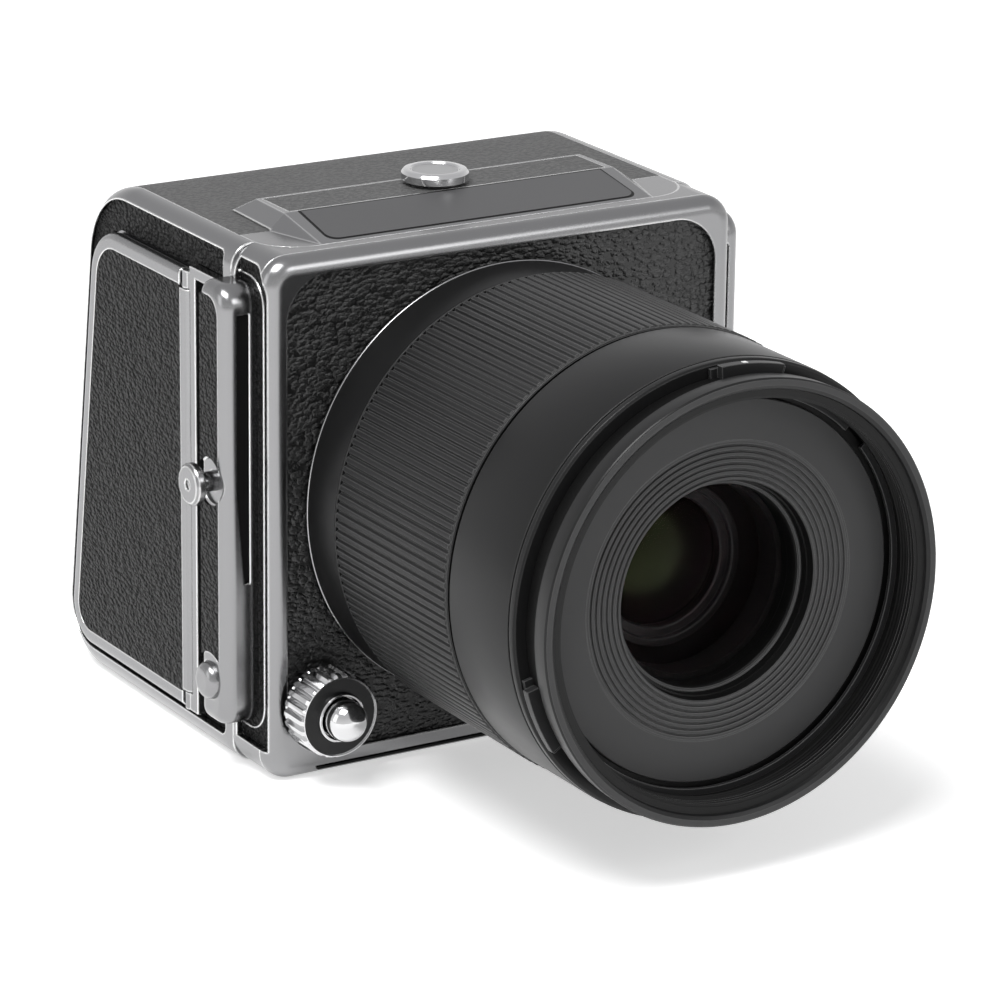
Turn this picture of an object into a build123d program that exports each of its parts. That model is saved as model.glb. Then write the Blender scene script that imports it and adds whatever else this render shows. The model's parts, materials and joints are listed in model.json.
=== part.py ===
from build123d import *
import math
import os

os.makedirs("parts", exist_ok=True)

# A medium format digital camera: a thin body, the digital back behind it and a lens in front.
# Millimetres. X to the right seen from the front, Y to the rear, Z up.
# The origin is the mouth of the tripod socket, in the middle of the thin body's base.

# Whole camera
body_width = 91.0
body_height = 91.0
body_corner = 5.0
base_depth = 8.3
shell_behind = 5.2
leather = 0.8
overrun = 1.0
flush_gap = 0.1
close_gap = 0.3
running_gap = 0.05

# Front bezel
bezel_depth = 3.0
bezel_side = 3.75
bezel_bottom = 4.1
bezel_top = 3.0
bezel_round = 2.8
window_corner = 8.0

# Black fields in the sides of the thin body
field_deep = 1.5
field_front = 6.0
field_rear = 4.1
field_foot = 5.5
field_drop = 1.8
field_corner = 5.0
field_low_corner = 2.5
field_leather = 0.3
bead_front = 4.05
bead_foot = 7.8
bead_drop = 4.0
bead_corner = 5.0
bead_width = 0.3
bead_height = 0.5

# Thin body
shell_wall = 3.0
base_plate_half = 36.0
base_plate_thick = 4.0
socket_boss_height = 8.0
socket_radius = 2.6
socket_length = 6.5
chassis_gap = 0.2

# Lens seat
lens_rise = 1.05
flange_ahead = 3.0
mount_outer = 33.8
throat_radius = 29.3
claw_inner = 27.6
claw_thick = 1.5
claw_count = 3
claw_angle = 58.0
claw_turn = 90.0
tube_radius = 27.2
tube_inner = 24.8
lug_radius = 28.9
lug_thick = 1.4
lug_angle = 50.0
lock_pin_radius = 1.0
lock_pin_turn = 215.0
lock_pin_travel = 1.2
contact_angle = 28.0
contact_turn = 270.0
contact_depth = 2.4
contact_radius = 22.6

# Lens
lens_length = 71.35
lens_radius = 38.3
base_ring_radius = 38.1
base_ring_length = 9.2
base_ring_taper = 1.0
mount_clearance = 0.5
bayonet_flange = 2.15
focus_radius = 38.6
focus_start = 6.8
focus_length = 37.0
focus_collar = 1.3
rib_count = 108
groove_width = 0.62
groove_depth = 0.55
sleeve_radius = 35.0
barrel_wall = 3.4
barrel_floor = 2.0
ring_gap = 0.8
barrel_shoulder = 0.7
filter_ring_length = 7.4
filter_wall = 33.3
filter_mouth = 35.2
filter_mouth_depth = 0.9
rim_radius = 37.0
hood_groove = 1.1
hood_groove_length = 2.5
hood_tab_count = 3
hood_tab_angle = 16.0
hood_tab_turn = 82.0
plate_thick = 1.6
plate_opening = 18.1
plate_groove_count = 3
plate_groove_pitch = 1.6
plate_groove_width = 0.45
plate_groove_depth = 0.4
cone_steps = 3
cone_step_length = 2.0
cone_step_in = 0.6
cone_wall = 1.4

# Glass
front_glass_radius = 15.9
front_glass_edge = 5.0
front_glass_sag = 3.4
middle_glass_radius = 14.0
middle_glass_edge = 4.0
moving_glass_radius = 12.0
moving_glass_edge = 3.4
rear_glass_radius = 19.5
rear_glass_edge = 3.0
glass_bevel = 0.5
cell_wall = 1.6
shutter_thick = 7.0
shutter_bore = 12.2
carrier_radius = 30.4
carrier_thick = 6.0
carrier_back = 3.0
rod_radius = 1.2
rod_circle_radius = 27.8
rod_count = 2
focus_travel = 3.0
rear_cell_length = 9.0

# Top plate with its raised hood
skirt_half = 41.2
skirt_thick = 0.7
skirt_ahead = 1.7
skirt_behind = 4.95
skirt_corner = 8.0
hood_rise = 2.4
hood_half_foot = 35.7
hood_half_rear = 35.2
hood_half_top = 32.3
hood_half_front = 33.1
hood_side_y = 10.4
hood_front_y = 1.4
hood_ridge_y = 11.1
hood_rear_y = 21.5
hood_rear_run = 2.9
hood_leather_side = 1.3
hood_leather_edge = 0.6
hood_leather_thick = 0.35
name_half_top = 29.4
name_half_foot = 29.9
name_foot = 1.4
name_margin = 0.35
name_thick = 0.5
name_corner = 2.0
knob_radius = 5.8
knob_height = 2.0
knob_rise = 0.5
knob_bevel = 0.5
knob_dish = 0.3
knob_dish_wall = 1.1
knob_stem = 2.4
knob_travel = 3.0
knob_y = 16.7

# Side blocks with the strap lugs
block_proud = 5.3
block_ahead = 1.7
block_behind = 7.3
block_foot = 8.9
block_drop = 5.2
block_round = 2.4
block_corner = 4.0
slot_drop = 10.0
slot_foot = 34.4
slot_wide = 2.3
slot_narrow = 1.0
slot_deep = 1.5
slot_inset = 0.4
slot_step_share = 0.33
slot_corner = 0.9
strip_front = 0.4
strip_rear = 6.5
strip_foot = 19.0
strip_drop = 7.4
strip_thick = 0.5
strip_corner = 0.6
strip_front_corner = 3.0
lug_z = 51.6
lug_stem = 1.7
lug_head = 3.6
lug_reach = 4.0
lug_head_thick = 2.0
lug_round = 0.5
lug_seat = 4.2
lug_seat_deep = 0.9
lug_root = 2.5
lug_hex = 1.0
lug_hex_deep = 0.7
lug_hex_sides = 6
full_turn = 360.0
release_z = 16.6
release_radius = 3.2
release_seat = 4.9
release_proud = 1.7
release_travel = 1.0
release_stem = 0.9
release_ring = 0.5

# Control dial with the shutter button in it
dial_x = -36.0
dial_z = 13.2
dial_radius = 7.3
dial_length = 6.6
dial_stand = 2.05
dial_flutes = 24
dial_flute_radius = 0.62
dial_rim = 0.4
dial_face_outer = 6.8
dial_face_inner = 4.3
dial_face_thick = 0.5
dial_ring_height = 0.7
dial_hub = 4.2
dial_hub_length = 4.0
button_radius = 3.5
button_proud = 5.2
button_round = 2.7
button_seat = 2.2
button_stem = 1.6
button_travel = 1.0
stem_gap = 0.15

# Digital back
back_depth = 66.05
rear_lean = 12.9
foot_radius = 12.0
crown_radius = 16.0
back_wall = 3.0
side_wall = 4.0
edge_round = 3.9
front_band = 2.8
recess_deep = 2.0
recess_top = 1.8
recess_rear = 1.6
recess_bottom = 4.0
recess_corner = 1.5
side_leather_thick = 0.6
top_leather_half = 41.2
top_leather_drop = 14.0
rim_gap = 0.15
front_plate_thick = 2.0

# Side doors
door_front = 19.2
door_top = 7.9
door_rear = 5.0
door_bottom = 5.0
door_thick = 2.6
door_round = 1.1
door_border = 2.7
door_leather_thick = 0.6
door_corner = 0.6
ear_height = 3.0
ear_gap = 0.25
pin_radius = 0.65
pin_length = 9.0
strip_width = 1.8
strip_gap = 0.35
strip_low = 0.35
strip_above = 1.1

# Battery, cards and electronics
battery_width = 21.0
battery_height = 38.0
battery_length = 57.0
battery_y = 24.8
battery_z = 13.0
battery_round = 2.0
card_width = 24.0
card_thick = 2.1
card_length = 32.0
card_y = 23.4
card_z = 57.0
card_pitch = 6.0
card_count = 2
bay_wall = 1.8
sensor_width = 43.8
sensor_height = 32.9
package_width = 54.0
package_height = 43.0
package_thick = 2.4
carrier_plate_thick = 2.0
carrier_plate_side = 6.0
sensor_cover = 0.8
sensor_border = 1.8
post_radius = 2.2
register = 18.14
board_width = 80.0
board_height = 58.0
board_thick = 1.6
board_z = 13.0
port_width = 9.0
port_height = 4.6
port_depth = 7.2
port_wall = 0.8
port_count = 4
port_first_z = 22.0
port_pitch = 11.0

# Rear cover with the tilting screen and its buttons
cover_width = 82.0
cover_foot = 13.6
cover_drop = 15.3
cover_corner = 4.0
cover_thick = 2.0
screen_width = 70.0
screen_foot = 22.6
screen_drop = 17.1
screen_thick = 3.4
screen_sunk = 1.0
screen_corner = 2.0
screen_pin = 0.8
screen_pin_length = 1.8
screen_ear = 2.0
glass_border = 2.2
glass_thick = 0.8
rear_button_count = 5
rear_button_width = 8.4
rear_button_height = 3.4
rear_button_pitch = 13.0
rear_button_up = 18.6
rear_button_flange = 0.8
cover_ledge = 2.0
rear_button_proud = 0.7

# Places worked out from the sizes above
half_width = body_width / 2
half_base = base_depth / 2
leather_y = -half_base - bezel_depth + leather
chassis_front_y = leather_y + leather
seam_y = shell_behind
flange_y = leather_y - flange_ahead
sensor_y = flange_y + register
rear_foot_y = seam_y + back_depth
lean_angle = math.atan(rear_lean / body_height)
rear_length = body_height / math.cos(lean_angle)
cover_head = rear_length - cover_drop
screen_head = rear_length - screen_drop
window_width = body_width - 2 * bezel_side
window_height = body_height - bezel_bottom - bezel_top
window_z = bezel_bottom + window_height / 2
lens_z = window_z + lens_rise
skirt_top = body_height
skirt_rear_y = seam_y + skirt_behind
hood_top = body_height + hood_rise
field_x = half_width - field_deep
block_head = body_height - block_drop
slot_head = body_height - slot_drop
strip_head = body_height - strip_drop
top_leather_end = body_height - top_leather_drop
side_floor = half_width - recess_deep
hinge_x = side_floor + close_gap + door_thick / 2
hinge_y = door_front + door_thick / 2
rim_y = flange_y - lens_length
plate_y = rim_y + filter_ring_length
focus_back_y = flange_y - focus_start
focus_front_y = focus_back_y - focus_length
dial_back_y = leather_y - dial_stand
dial_face_y = dial_back_y - dial_length
lock_reach = (throat_radius + mount_outer) / 2
lock_place = (
    lock_reach * math.cos(math.radians(lock_pin_turn)),
    lock_reach * math.sin(math.radians(lock_pin_turn)),
)

lens_axis = Axis((0, 0, lens_z), (0, 1, 0))
lens_section = Plane(origin=(0, 0, lens_z), x_dir=(0, 1, 0), z_dir=(1, 0, 0))
dial_axis = Axis((dial_x, 0, dial_z), (0, 1, 0))
dial_section = Plane(origin=(dial_x, 0, dial_z), x_dir=(0, 1, 0), z_dir=(1, 0, 0))
rear_face = Plane(
    origin=(0, rear_foot_y, 0),
    x_dir=(-1, 0, 0),
    z_dir=(0, math.cos(lean_angle), math.sin(lean_angle)),
)


def facing_front(y, x=0, z=0):
    """A plane at this Y that faces the front, with local x along X and local y along Z."""
    return Plane(origin=(x, y, z), x_dir=(1, 0, 0), z_dir=(0, -1, 0))


def facing_lens(y):
    """A plane at this Y that faces the front, centred on the lens axis."""
    return facing_front(y, 0, lens_z)


def rear_at(z):
    """Where the leaning rear wall of the digital back stands at this height."""
    return rear_foot_y - rear_lean * z / body_height


def section(plane, *points):
    """A closed flat outline on this plane, to be turned or extruded."""
    with BuildSketch(plane, mode=Mode.PRIVATE) as outline:
        with BuildLine():
            Polyline(*points, close=True)
        make_face()
    return outline.sketch


def ring_section(plane, y_rear, y_front, inner, outer):
    """A rectangle between two places along Y and two radii, to be turned."""
    return section(plane, (y_front, inner), (y_rear, inner), (y_rear, outer), (y_front, outer))


def lens_ring(y_rear, y_front, inner, outer):
    """A plain ring about the lens axis."""
    return ring_section(lens_section, y_rear, y_front, inner, outer)


def rounded_window(y, width, height, corner, z):
    """A rounded rectangle that faces the front, centred at this height."""
    with BuildSketch(facing_front(y), mode=Mode.PRIVATE) as outline:
        with Locations((0, z)):
            RectangleRounded(width, height, corner)
    return outline.sketch


def side_outline(x, top, rear, bottom, front, front_radius=0):
    """Side view of the digital back at this X, drawn in from each edge by its own inset."""
    slant = rear / math.cos(lean_angle)
    low = bottom
    high = body_height - top
    with BuildSketch(Plane.YZ.offset(x), mode=Mode.PRIVATE) as outline:
        with BuildLine():
            Polyline(
                (front, low),
                (rear_at(low) - slant, low),
                (rear_at(high) - slant, high),
                (front, high),
                close=True,
            )
        make_face()
        foot = outline.vertices().sort_by(Axis.X)[-1]
        fillet(foot, radius=foot_radius - (rear + bottom) / 2)
        crown = outline.vertices().group_by(Axis.Y)[-1].sort_by(Axis.X)[-1]
        fillet(crown, radius=crown_radius - (top + rear) / 2)
        if front_radius:
            fillet(outline.vertices().group_by(Axis.X)[0], radius=front_radius)
    return outline.sketch


def arc_piece(plane, inner, outer, middle, angle):
    """Part of a flat ring, this wide in degrees about its middle direction."""
    first = middle - angle / 2
    with BuildSketch(plane, mode=Mode.PRIVATE) as outline:
        with BuildLine():
            CenterArc((0, 0), outer, first, angle)
            CenterArc((0, 0), inner, first, angle)
            for turn in (first, first + angle):
                way = (math.cos(math.radians(turn)), math.sin(math.radians(turn)))
                Line((inner * way[0], inner * way[1]), (outer * way[0], outer * way[1]))
        make_face()
    return outline.sketch


def skirt_outline(z, rear):
    """Plan view of the top plate back to this Y, with its two large front corners."""
    with BuildSketch(Plane.XY.offset(z), mode=Mode.PRIVATE) as outline:
        with Locations((0, (rear - skirt_ahead) / 2)):
            Rectangle(2 * skirt_half, rear + skirt_ahead)
        fillet(outline.vertices().group_by(Axis.Y)[0], radius=skirt_corner)
    return outline.sketch


def lens_glass(y, radius, edge, sag=0):
    """Half section of a glass whose edge is centred at this Y, domed in front by its sag, flat behind."""
    front = y - edge / 2
    rear = y + edge / 2
    with BuildSketch(lens_section, mode=Mode.PRIVATE) as outline:
        with BuildLine():
            rim = radius - glass_bevel
            Polyline(
                (front - sag, 0),
                (rear, 0),
                (rear, rim),
                (rear - glass_bevel, radius),
                (front + glass_bevel, radius),
                (front, rim),
            )
            if sag:
                curve = (rim**2 + sag**2) / (2 * sag)
                half_sag = curve - math.sqrt(curve**2 - (rim / 2) ** 2)
                ThreePointArc((front, rim), (front - sag + half_sag, rim / 2), (front - sag, 0))
            else:
                Line((front, rim), (front, 0))
        make_face()
    return outline.sketch


def field_outline(x, inset):
    """Side view of the black field in the side of the thin body, drawn in by this much in front."""
    low = field_foot + inset
    high = body_height - field_drop - inset
    with BuildSketch(Plane.YZ.offset(x), mode=Mode.PRIVATE) as outline:
        with Locations(((field_rear - field_front) / 2, (low + high) / 2)):
            Rectangle(field_rear + field_front - 2 * inset, high - low)
        front = outline.vertices().group_by(Axis.X)[0].sort_by(Axis.Y)
        fillet(front[-1], radius=field_corner - inset)
        fillet(front[0], radius=field_low_corner - inset)
    return outline.sketch


def bead_outline(x, inset):
    """Side view of the bright bead in that field, drawn in by this much, open at the rear."""
    low = bead_foot + inset
    high = body_height - bead_drop - inset
    with BuildSketch(Plane.YZ.offset(x), mode=Mode.PRIVATE) as outline:
        with Locations(((field_rear - bead_front + inset) / 2, (low + high) / 2)):
            Rectangle(field_rear + bead_front - inset, high - low)
        fillet(outline.vertices().group_by(Axis.X)[0], radius=bead_corner - inset)
    return outline.sketch


# Front bezel: the bright frame round the front leather
with BuildPart() as front_frame:
    extrude(
        rounded_window(-half_base, body_width, body_height, body_corner, body_height / 2),
        amount=bezel_depth,
    )
    outer_edges = front_frame.faces().sort_by(Axis.Y)[0].edges()
    fillet(outer_edges, radius=bezel_round)
    extrude(
        rounded_window(-half_base + overrun, window_width, window_height, window_corner, window_z),
        amount=bezel_depth + 2 * overrun,
        mode=Mode.SUBTRACT,
    )
    for side in (-1, 1):
        extrude(field_outline(side * field_x, 0), amount=side * (field_deep + overrun), mode=Mode.SUBTRACT)
front_frame.part.label = "front_frame"

# Shell of the thin body: two walls and a roof over the base plate
with BuildPart() as body_shell:
    shell_depth = seam_y + half_base
    extrude(
        rounded_window(seam_y, body_width, body_height, body_corner, body_height / 2),
        amount=shell_depth,
    )
    cavity_height = body_height - base_plate_thick - shell_wall
    extrude(
        rounded_window(
            seam_y + overrun,
            body_width - 2 * shell_wall,
            cavity_height,
            body_corner - shell_wall,
            base_plate_thick + cavity_height / 2,
        ),
        amount=shell_depth + 2 * overrun,
        mode=Mode.SUBTRACT,
    )
    with BuildSketch(facing_front(seam_y + overrun)):
        Rectangle(2 * base_plate_half, 2 * base_plate_thick)
    extrude(amount=shell_depth + 2 * overrun, mode=Mode.SUBTRACT)
    extrude(
        skirt_outline(skirt_top - skirt_thick, skirt_rear_y),
        amount=skirt_thick + overrun,
        mode=Mode.SUBTRACT,
    )
    for side in (-1, 1):
        extrude(field_outline(side * field_x, 0), amount=side * (field_deep + overrun), mode=Mode.SUBTRACT)
        bead = bead_outline(side * field_x, 0) - bead_outline(side * field_x, bead_width)
        extrude(bead, amount=side * bead_height)
    with BuildSketch(Plane.YZ.offset(-half_width - overrun)):
        with Locations(((strip_front + strip_rear) / 2, release_z)):
            Circle(release_stem + stem_gap)
    extrude(amount=shell_wall + 2 * overrun, mode=Mode.SUBTRACT)
body_shell.part.label = "body_shell"

# Base plate with the tripod socket
with BuildPart() as base_plate:
    with BuildSketch():
        with Locations((0, (seam_y - half_base) / 2)):
            Rectangle(2 * base_plate_half, seam_y + half_base)
    extrude(amount=base_plate_thick)
    with BuildSketch(Plane.XY.offset(base_plate_thick)):
        Circle(half_base)
    extrude(amount=socket_boss_height - base_plate_thick)
    with BuildSketch():
        Circle(socket_radius)
    extrude(amount=socket_length, mode=Mode.SUBTRACT)
base_plate.part.label = "base_plate"

# Casting inside the thin body that carries the lens seat
inner_width = body_width - 2 * shell_wall - 2 * chassis_gap
inner_height = body_height - shell_wall - base_plate_thick - 2 * chassis_gap
inner_z = base_plate_thick + chassis_gap + inner_height / 2
with BuildPart() as chassis:
    extrude(
        rounded_window(
            -half_base,
            window_width - 2 * chassis_gap,
            window_height - 2 * chassis_gap,
            window_corner - chassis_gap,
            window_z,
        ),
        amount=-half_base - chassis_front_y,
    )
    extrude(
        rounded_window(seam_y, inner_width, inner_height, body_corner - shell_wall, inner_z),
        amount=seam_y + half_base,
    )
    revolve(
        ring_section(
            dial_section, chassis_front_y, leather_y - dial_stand / 2, 0, dial_hub + dial_rim + running_gap
        ),
        axis=dial_axis,
    )
    with BuildSketch(facing_lens(seam_y + overrun)):
        Circle(throat_radius)
    extrude(amount=seam_y + half_base + bezel_depth + 2 * overrun, mode=Mode.SUBTRACT)
    with BuildSketch(Plane.XY):
        Circle(half_base + chassis_gap)
    extrude(amount=socket_boss_height + chassis_gap, mode=Mode.SUBTRACT)
    revolve(
        ring_section(
            dial_section,
            dial_back_y + dial_hub_length + close_gap,
            dial_face_y,
            0,
            dial_hub + running_gap,
        ),
        axis=dial_axis,
        mode=Mode.SUBTRACT,
    )
    revolve(
        ring_section(dial_section, half_base - shell_wall, dial_face_y, 0, button_stem + stem_gap),
        axis=dial_axis,
        mode=Mode.SUBTRACT,
    )
    with BuildSketch(facing_lens(chassis_front_y + lock_pin_travel + close_gap)):
        with Locations(lock_place):
            Circle(lock_pin_radius + stem_gap)
    extrude(amount=lock_pin_travel + close_gap + overrun, mode=Mode.SUBTRACT)
chassis.part.label = "chassis"

# Leather on the front, holed for the lens seat and the dial
with BuildPart() as front_leather:
    extrude(
        rounded_window(chassis_front_y, window_width, window_height, window_corner, window_z),
        amount=leather,
    )
    with BuildSketch(facing_lens(chassis_front_y + overrun)):
        Circle(mount_outer + flush_gap)
    extrude(amount=leather + 2 * overrun, mode=Mode.SUBTRACT)
    with BuildSketch(facing_front(chassis_front_y + overrun, dial_x, dial_z)):
        Circle(dial_hub + dial_rim + 2 * running_gap)
    extrude(amount=leather + 2 * overrun, mode=Mode.SUBTRACT)
front_leather.part.label = "front_leather"

# Lens seat with its three bayonet claws
with BuildPart() as lens_mount:
    revolve(lens_ring(chassis_front_y, flange_y, throat_radius, mount_outer), axis=lens_axis)
    for claw in range(claw_count):
        middle = claw_turn + claw * full_turn / claw_count
        extrude(
            arc_piece(
                facing_lens(flange_y + claw_thick), claw_inner, throat_radius + flush_gap, middle, claw_angle
            ),
            amount=claw_thick,
        )
    with BuildSketch(facing_lens(chassis_front_y + overrun)):
        with Locations(lock_place):
            Circle(lock_pin_radius + running_gap)
    extrude(amount=chassis_front_y - flange_y + 2 * overrun, mode=Mode.SUBTRACT)
lens_mount.part.label = "lens_mount"

# Spring pin that holds the lens from turning
with BuildPart() as lens_lock_pin:
    with BuildSketch(facing_lens(chassis_front_y)):
        with Locations(lock_place):
            Circle(lock_pin_radius)
    extrude(amount=chassis_front_y - flange_y)
lens_lock_pin.part.label = "lens_lock_pin"

# Block of contacts inside the lens seat
with BuildPart() as contact_block:
    extrude(
        arc_piece(
            facing_lens(half_base - shell_wall),
            contact_radius,
            throat_radius - running_gap,
            contact_turn,
            contact_angle,
        ),
        amount=contact_depth,
    )
contact_block.part.label = "contact_block"


def hood_leather_outline(z):
    """Plan view of the leather let into the flat top of the hood."""
    front = hood_ridge_y + hood_leather_edge
    rear = hood_rear_y - hood_leather_edge
    with BuildSketch(Plane.XY.offset(z), mode=Mode.PRIVATE) as outline:
        with Locations((0, (front + rear) / 2)):
            Rectangle(2 * (hood_half_top - hood_leather_side), rear - front)
    return outline.sketch


# Top plate: a flat skirt and the raised hood that reaches back over the digital back
with BuildPart() as top_plate:
    with BuildSketch(Plane.YZ.offset(-hood_half_foot)):
        with BuildLine():
            Polyline(
                (-skirt_ahead, skirt_top - skirt_thick),
                (-skirt_ahead, skirt_top),
                (hood_ridge_y, hood_top),
                (hood_rear_y, hood_top),
                (hood_rear_y + hood_rear_run, skirt_top + flush_gap),
                (skirt_rear_y, skirt_top + flush_gap),
                (skirt_rear_y, skirt_top - skirt_thick),
                close=True,
            )
        make_face()
    extrude(amount=2 * hood_half_foot)
    for side in (-1, 1):
        corner = Vector(side * hood_half_foot, hood_side_y, skirt_top)
        peak = Vector(side * hood_half_top, hood_ridge_y, hood_top)
        rear_foot = Vector(side * hood_half_rear, hood_rear_y + hood_rear_run, skirt_top)
        front_foot = Vector(side * hood_half_front, hood_front_y, skirt_top)
        end_way = side * (rear_foot - corner).cross(peak - corner)
        split(bisect_by=Plane(origin=corner, z_dir=end_way), keep=Keep.BOTTOM)
        corner_way = side * (peak - corner).cross(front_foot - corner)
        split(bisect_by=Plane(origin=corner, z_dir=corner_way), keep=Keep.BOTTOM)
    extrude(
        skirt_outline(skirt_top - skirt_thick, hood_rear_y + hood_rear_run),
        amount=skirt_thick + hood_rise,
        mode=Mode.INTERSECT,
    )
    extrude(skirt_outline(skirt_top - skirt_thick, skirt_rear_y), amount=skirt_thick)
    name_slope = math.atan2(hood_rise, hood_ridge_y + skirt_ahead)
    name_plane = Plane(
        origin=(0, -skirt_ahead, skirt_top),
        x_dir=(1, 0, 0),
        z_dir=(0, -math.sin(name_slope), math.cos(name_slope)),
    )
    slope_length = math.hypot(hood_rise, hood_ridge_y + skirt_ahead)
    name_head = slope_length - name_margin
    with BuildSketch(name_plane, mode=Mode.PRIVATE) as name_outline:
        with BuildLine():
            Polyline(
                (-name_half_foot, name_foot),
                (name_half_foot, name_foot),
                (name_half_top, name_head),
                (-name_half_top, name_head),
                close=True,
            )
        make_face()
        fillet(name_outline.vertices().group_by(Axis.Y)[0], radius=name_corner)
    extrude(name_outline.sketch, amount=-name_thick, mode=Mode.SUBTRACT)
    with BuildSketch(Plane.XY.offset(hood_top + overrun)):
        with Locations((knob_travel / 2, knob_y)):
            SlotCenterToCenter(knob_travel, 2 * (knob_stem + stem_gap))
    extrude(amount=-hood_rise - overrun, mode=Mode.SUBTRACT)
    extrude(hood_leather_outline(hood_top - hood_leather_thick), amount=hood_leather_thick + overrun,
            mode=Mode.SUBTRACT)
top_plate.part.label = "top_plate"

# Plain plate let into the slope of the hood
with BuildPart() as nameplate:
    extrude(name_outline.sketch, amount=-name_thick)
nameplate.part.label = "nameplate"

# Leather on the flat top of the hood, with the slot for the knob's stem
with BuildPart() as hood_leather:
    extrude(hood_leather_outline(hood_top - hood_leather_thick), amount=hood_leather_thick)
    with BuildSketch(Plane.XY.offset(hood_top + overrun)):
        with Locations((knob_travel / 2, knob_y)):
            SlotCenterToCenter(knob_travel, 2 * (knob_stem + stem_gap))
    extrude(amount=-hood_leather_thick - 2 * overrun, mode=Mode.SUBTRACT)
hood_leather.part.label = "hood_leather"

# Round knob on the hood that frees the digital back when it is pushed aside
with BuildPart() as back_release_knob:
    with BuildSketch(Plane.XY.offset(hood_top + knob_rise)):
        with Locations((0, knob_y)):
            Circle(knob_radius)
    extrude(amount=knob_height)
    chamfer(back_release_knob.faces().sort_by(Axis.Z)[-1].edges(), length=knob_bevel)
    with BuildSketch(Plane.XY.offset(hood_top + knob_rise + knob_height)):
        with Locations((0, knob_y)):
            Circle(knob_radius - knob_bevel - knob_dish_wall)
    extrude(amount=-knob_dish, mode=Mode.SUBTRACT)
    with BuildSketch(Plane.XY.offset(skirt_top + close_gap)):
        with Locations((0, knob_y)):
            Circle(knob_stem)
    extrude(amount=hood_rise + knob_rise - close_gap)
back_release_knob.part.label = "back_release_knob"


def block_outline(x, rear, rear_corner=0):
    """Side view of a side block back to this Y, with its two large front corners."""
    with BuildSketch(Plane.YZ.offset(x), mode=Mode.PRIVATE) as outline:
        with Locations(((rear - block_ahead) / 2, (block_head + block_foot) / 2)):
            Rectangle(rear + block_ahead, block_head - block_foot)
        fillet(outline.vertices().group_by(Axis.X)[0], radius=block_corner)
        if rear_corner:
            fillet(outline.vertices().group_by(Axis.X)[-1], radius=rear_corner)
    return outline.sketch


def strip_outline(x, foot):
    """Side view of the leather strip on a side block, from this height up, cut round the lug and button."""
    middle = (strip_front + strip_rear) / 2
    with BuildSketch(Plane.YZ.offset(x), mode=Mode.PRIVATE) as outline:
        with Locations((middle, (strip_head + foot) / 2)):
            Rectangle(strip_rear - strip_front, strip_head - foot)
        front = outline.vertices().group_by(Axis.X)[0].sort_by(Axis.Y)[-1]
        fillet(front, radius=strip_front_corner)
        rear = outline.vertices().group_by(Axis.X)[-1].sort_by(Axis.Y)[-1]
        fillet(rear, radius=strip_corner)
        with Locations((middle, lug_z)):
            Circle(lug_seat, mode=Mode.SUBTRACT)
        with Locations((middle, release_z)):
            Circle(release_seat, mode=Mode.SUBTRACT)
    return outline.sketch


strip_y = (strip_front + strip_rear) / 2
block_x = half_width + block_proud


def side_block(side):
    """The solid of one side block; side is -1 on the left and 1 on the right."""
    with BuildPart(mode=Mode.PRIVATE) as block:
        base_x = half_width + close_gap
        extrude(
            block_outline(side * base_x, block_behind, block_round),
            amount=side * (block_proud - close_gap),
        )
        outer = block.faces().sort_by(Axis.X)[0 if side < 0 else -1]
        fillet(outer.edges(), radius=block_round - flush_gap)
        extrude(block_outline(side * field_x, field_rear - flush_gap), amount=side * (base_x - field_x))
        extrude(
            strip_outline(side * (block_x - strip_thick), strip_foot),
            amount=side * (strip_thick + overrun),
            mode=Mode.SUBTRACT,
        )
        with BuildSketch(facing_front(-block_ahead + slot_deep)):
            slot_x = side * (half_width + slot_inset)
            with BuildLine():
                Polyline(
                    (slot_x, slot_foot),
                    (slot_x, slot_head),
                    (slot_x + side * slot_wide, slot_head),
                    (slot_x + side * slot_wide, slot_foot + slot_step_share * (slot_head - slot_foot)),
                    (slot_x + side * slot_narrow, slot_foot),
                    close=True,
                )
            make_face()
            top_corners = vertices().group_by(Axis.Z)[-1].sort_by(Axis.X)
            fillet(top_corners[0 if side < 0 else -1], radius=slot_corner)
        extrude(amount=slot_deep + overrun, mode=Mode.SUBTRACT)
        with BuildSketch(Plane.YZ.offset(side * (block_x - lug_seat_deep))):
            with Locations((strip_y, lug_z)):
                Circle(lug_seat)
        extrude(amount=side * (lug_seat_deep + overrun), mode=Mode.SUBTRACT)
        with BuildSketch(Plane.YZ.offset(side * (block_x - lug_root))):
            with Locations((strip_y, lug_z)):
                Circle(lug_stem)
        extrude(amount=side * (lug_root + overrun), mode=Mode.SUBTRACT)
    return block.part


with BuildPart() as side_block_left:
    add(side_block(-1))
    with BuildSketch(Plane.YZ.offset(-block_x - overrun)):
        with Locations((strip_y, release_z)):
            Circle(release_radius + running_gap)
    extrude(amount=block_proud - release_ring + overrun, mode=Mode.SUBTRACT)
    with BuildSketch(Plane.YZ.offset(-block_x - overrun)):
        with Locations((strip_y, release_z)):
            Circle(release_stem + stem_gap)
    extrude(amount=block_proud + field_deep + 2 * overrun, mode=Mode.SUBTRACT)
side_block_left.part.label = "side_block_left"

with BuildPart() as side_block_right:
    add(side_block(1))
side_block_right.part.label = "side_block_right"

# Leather strips on both side blocks
with BuildPart() as block_leathers:
    for side in (-1, 1):
        extrude(strip_outline(side * (block_x - strip_thick), strip_foot), amount=side * strip_thick)
block_leathers.part.label = "block_leathers"

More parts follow.
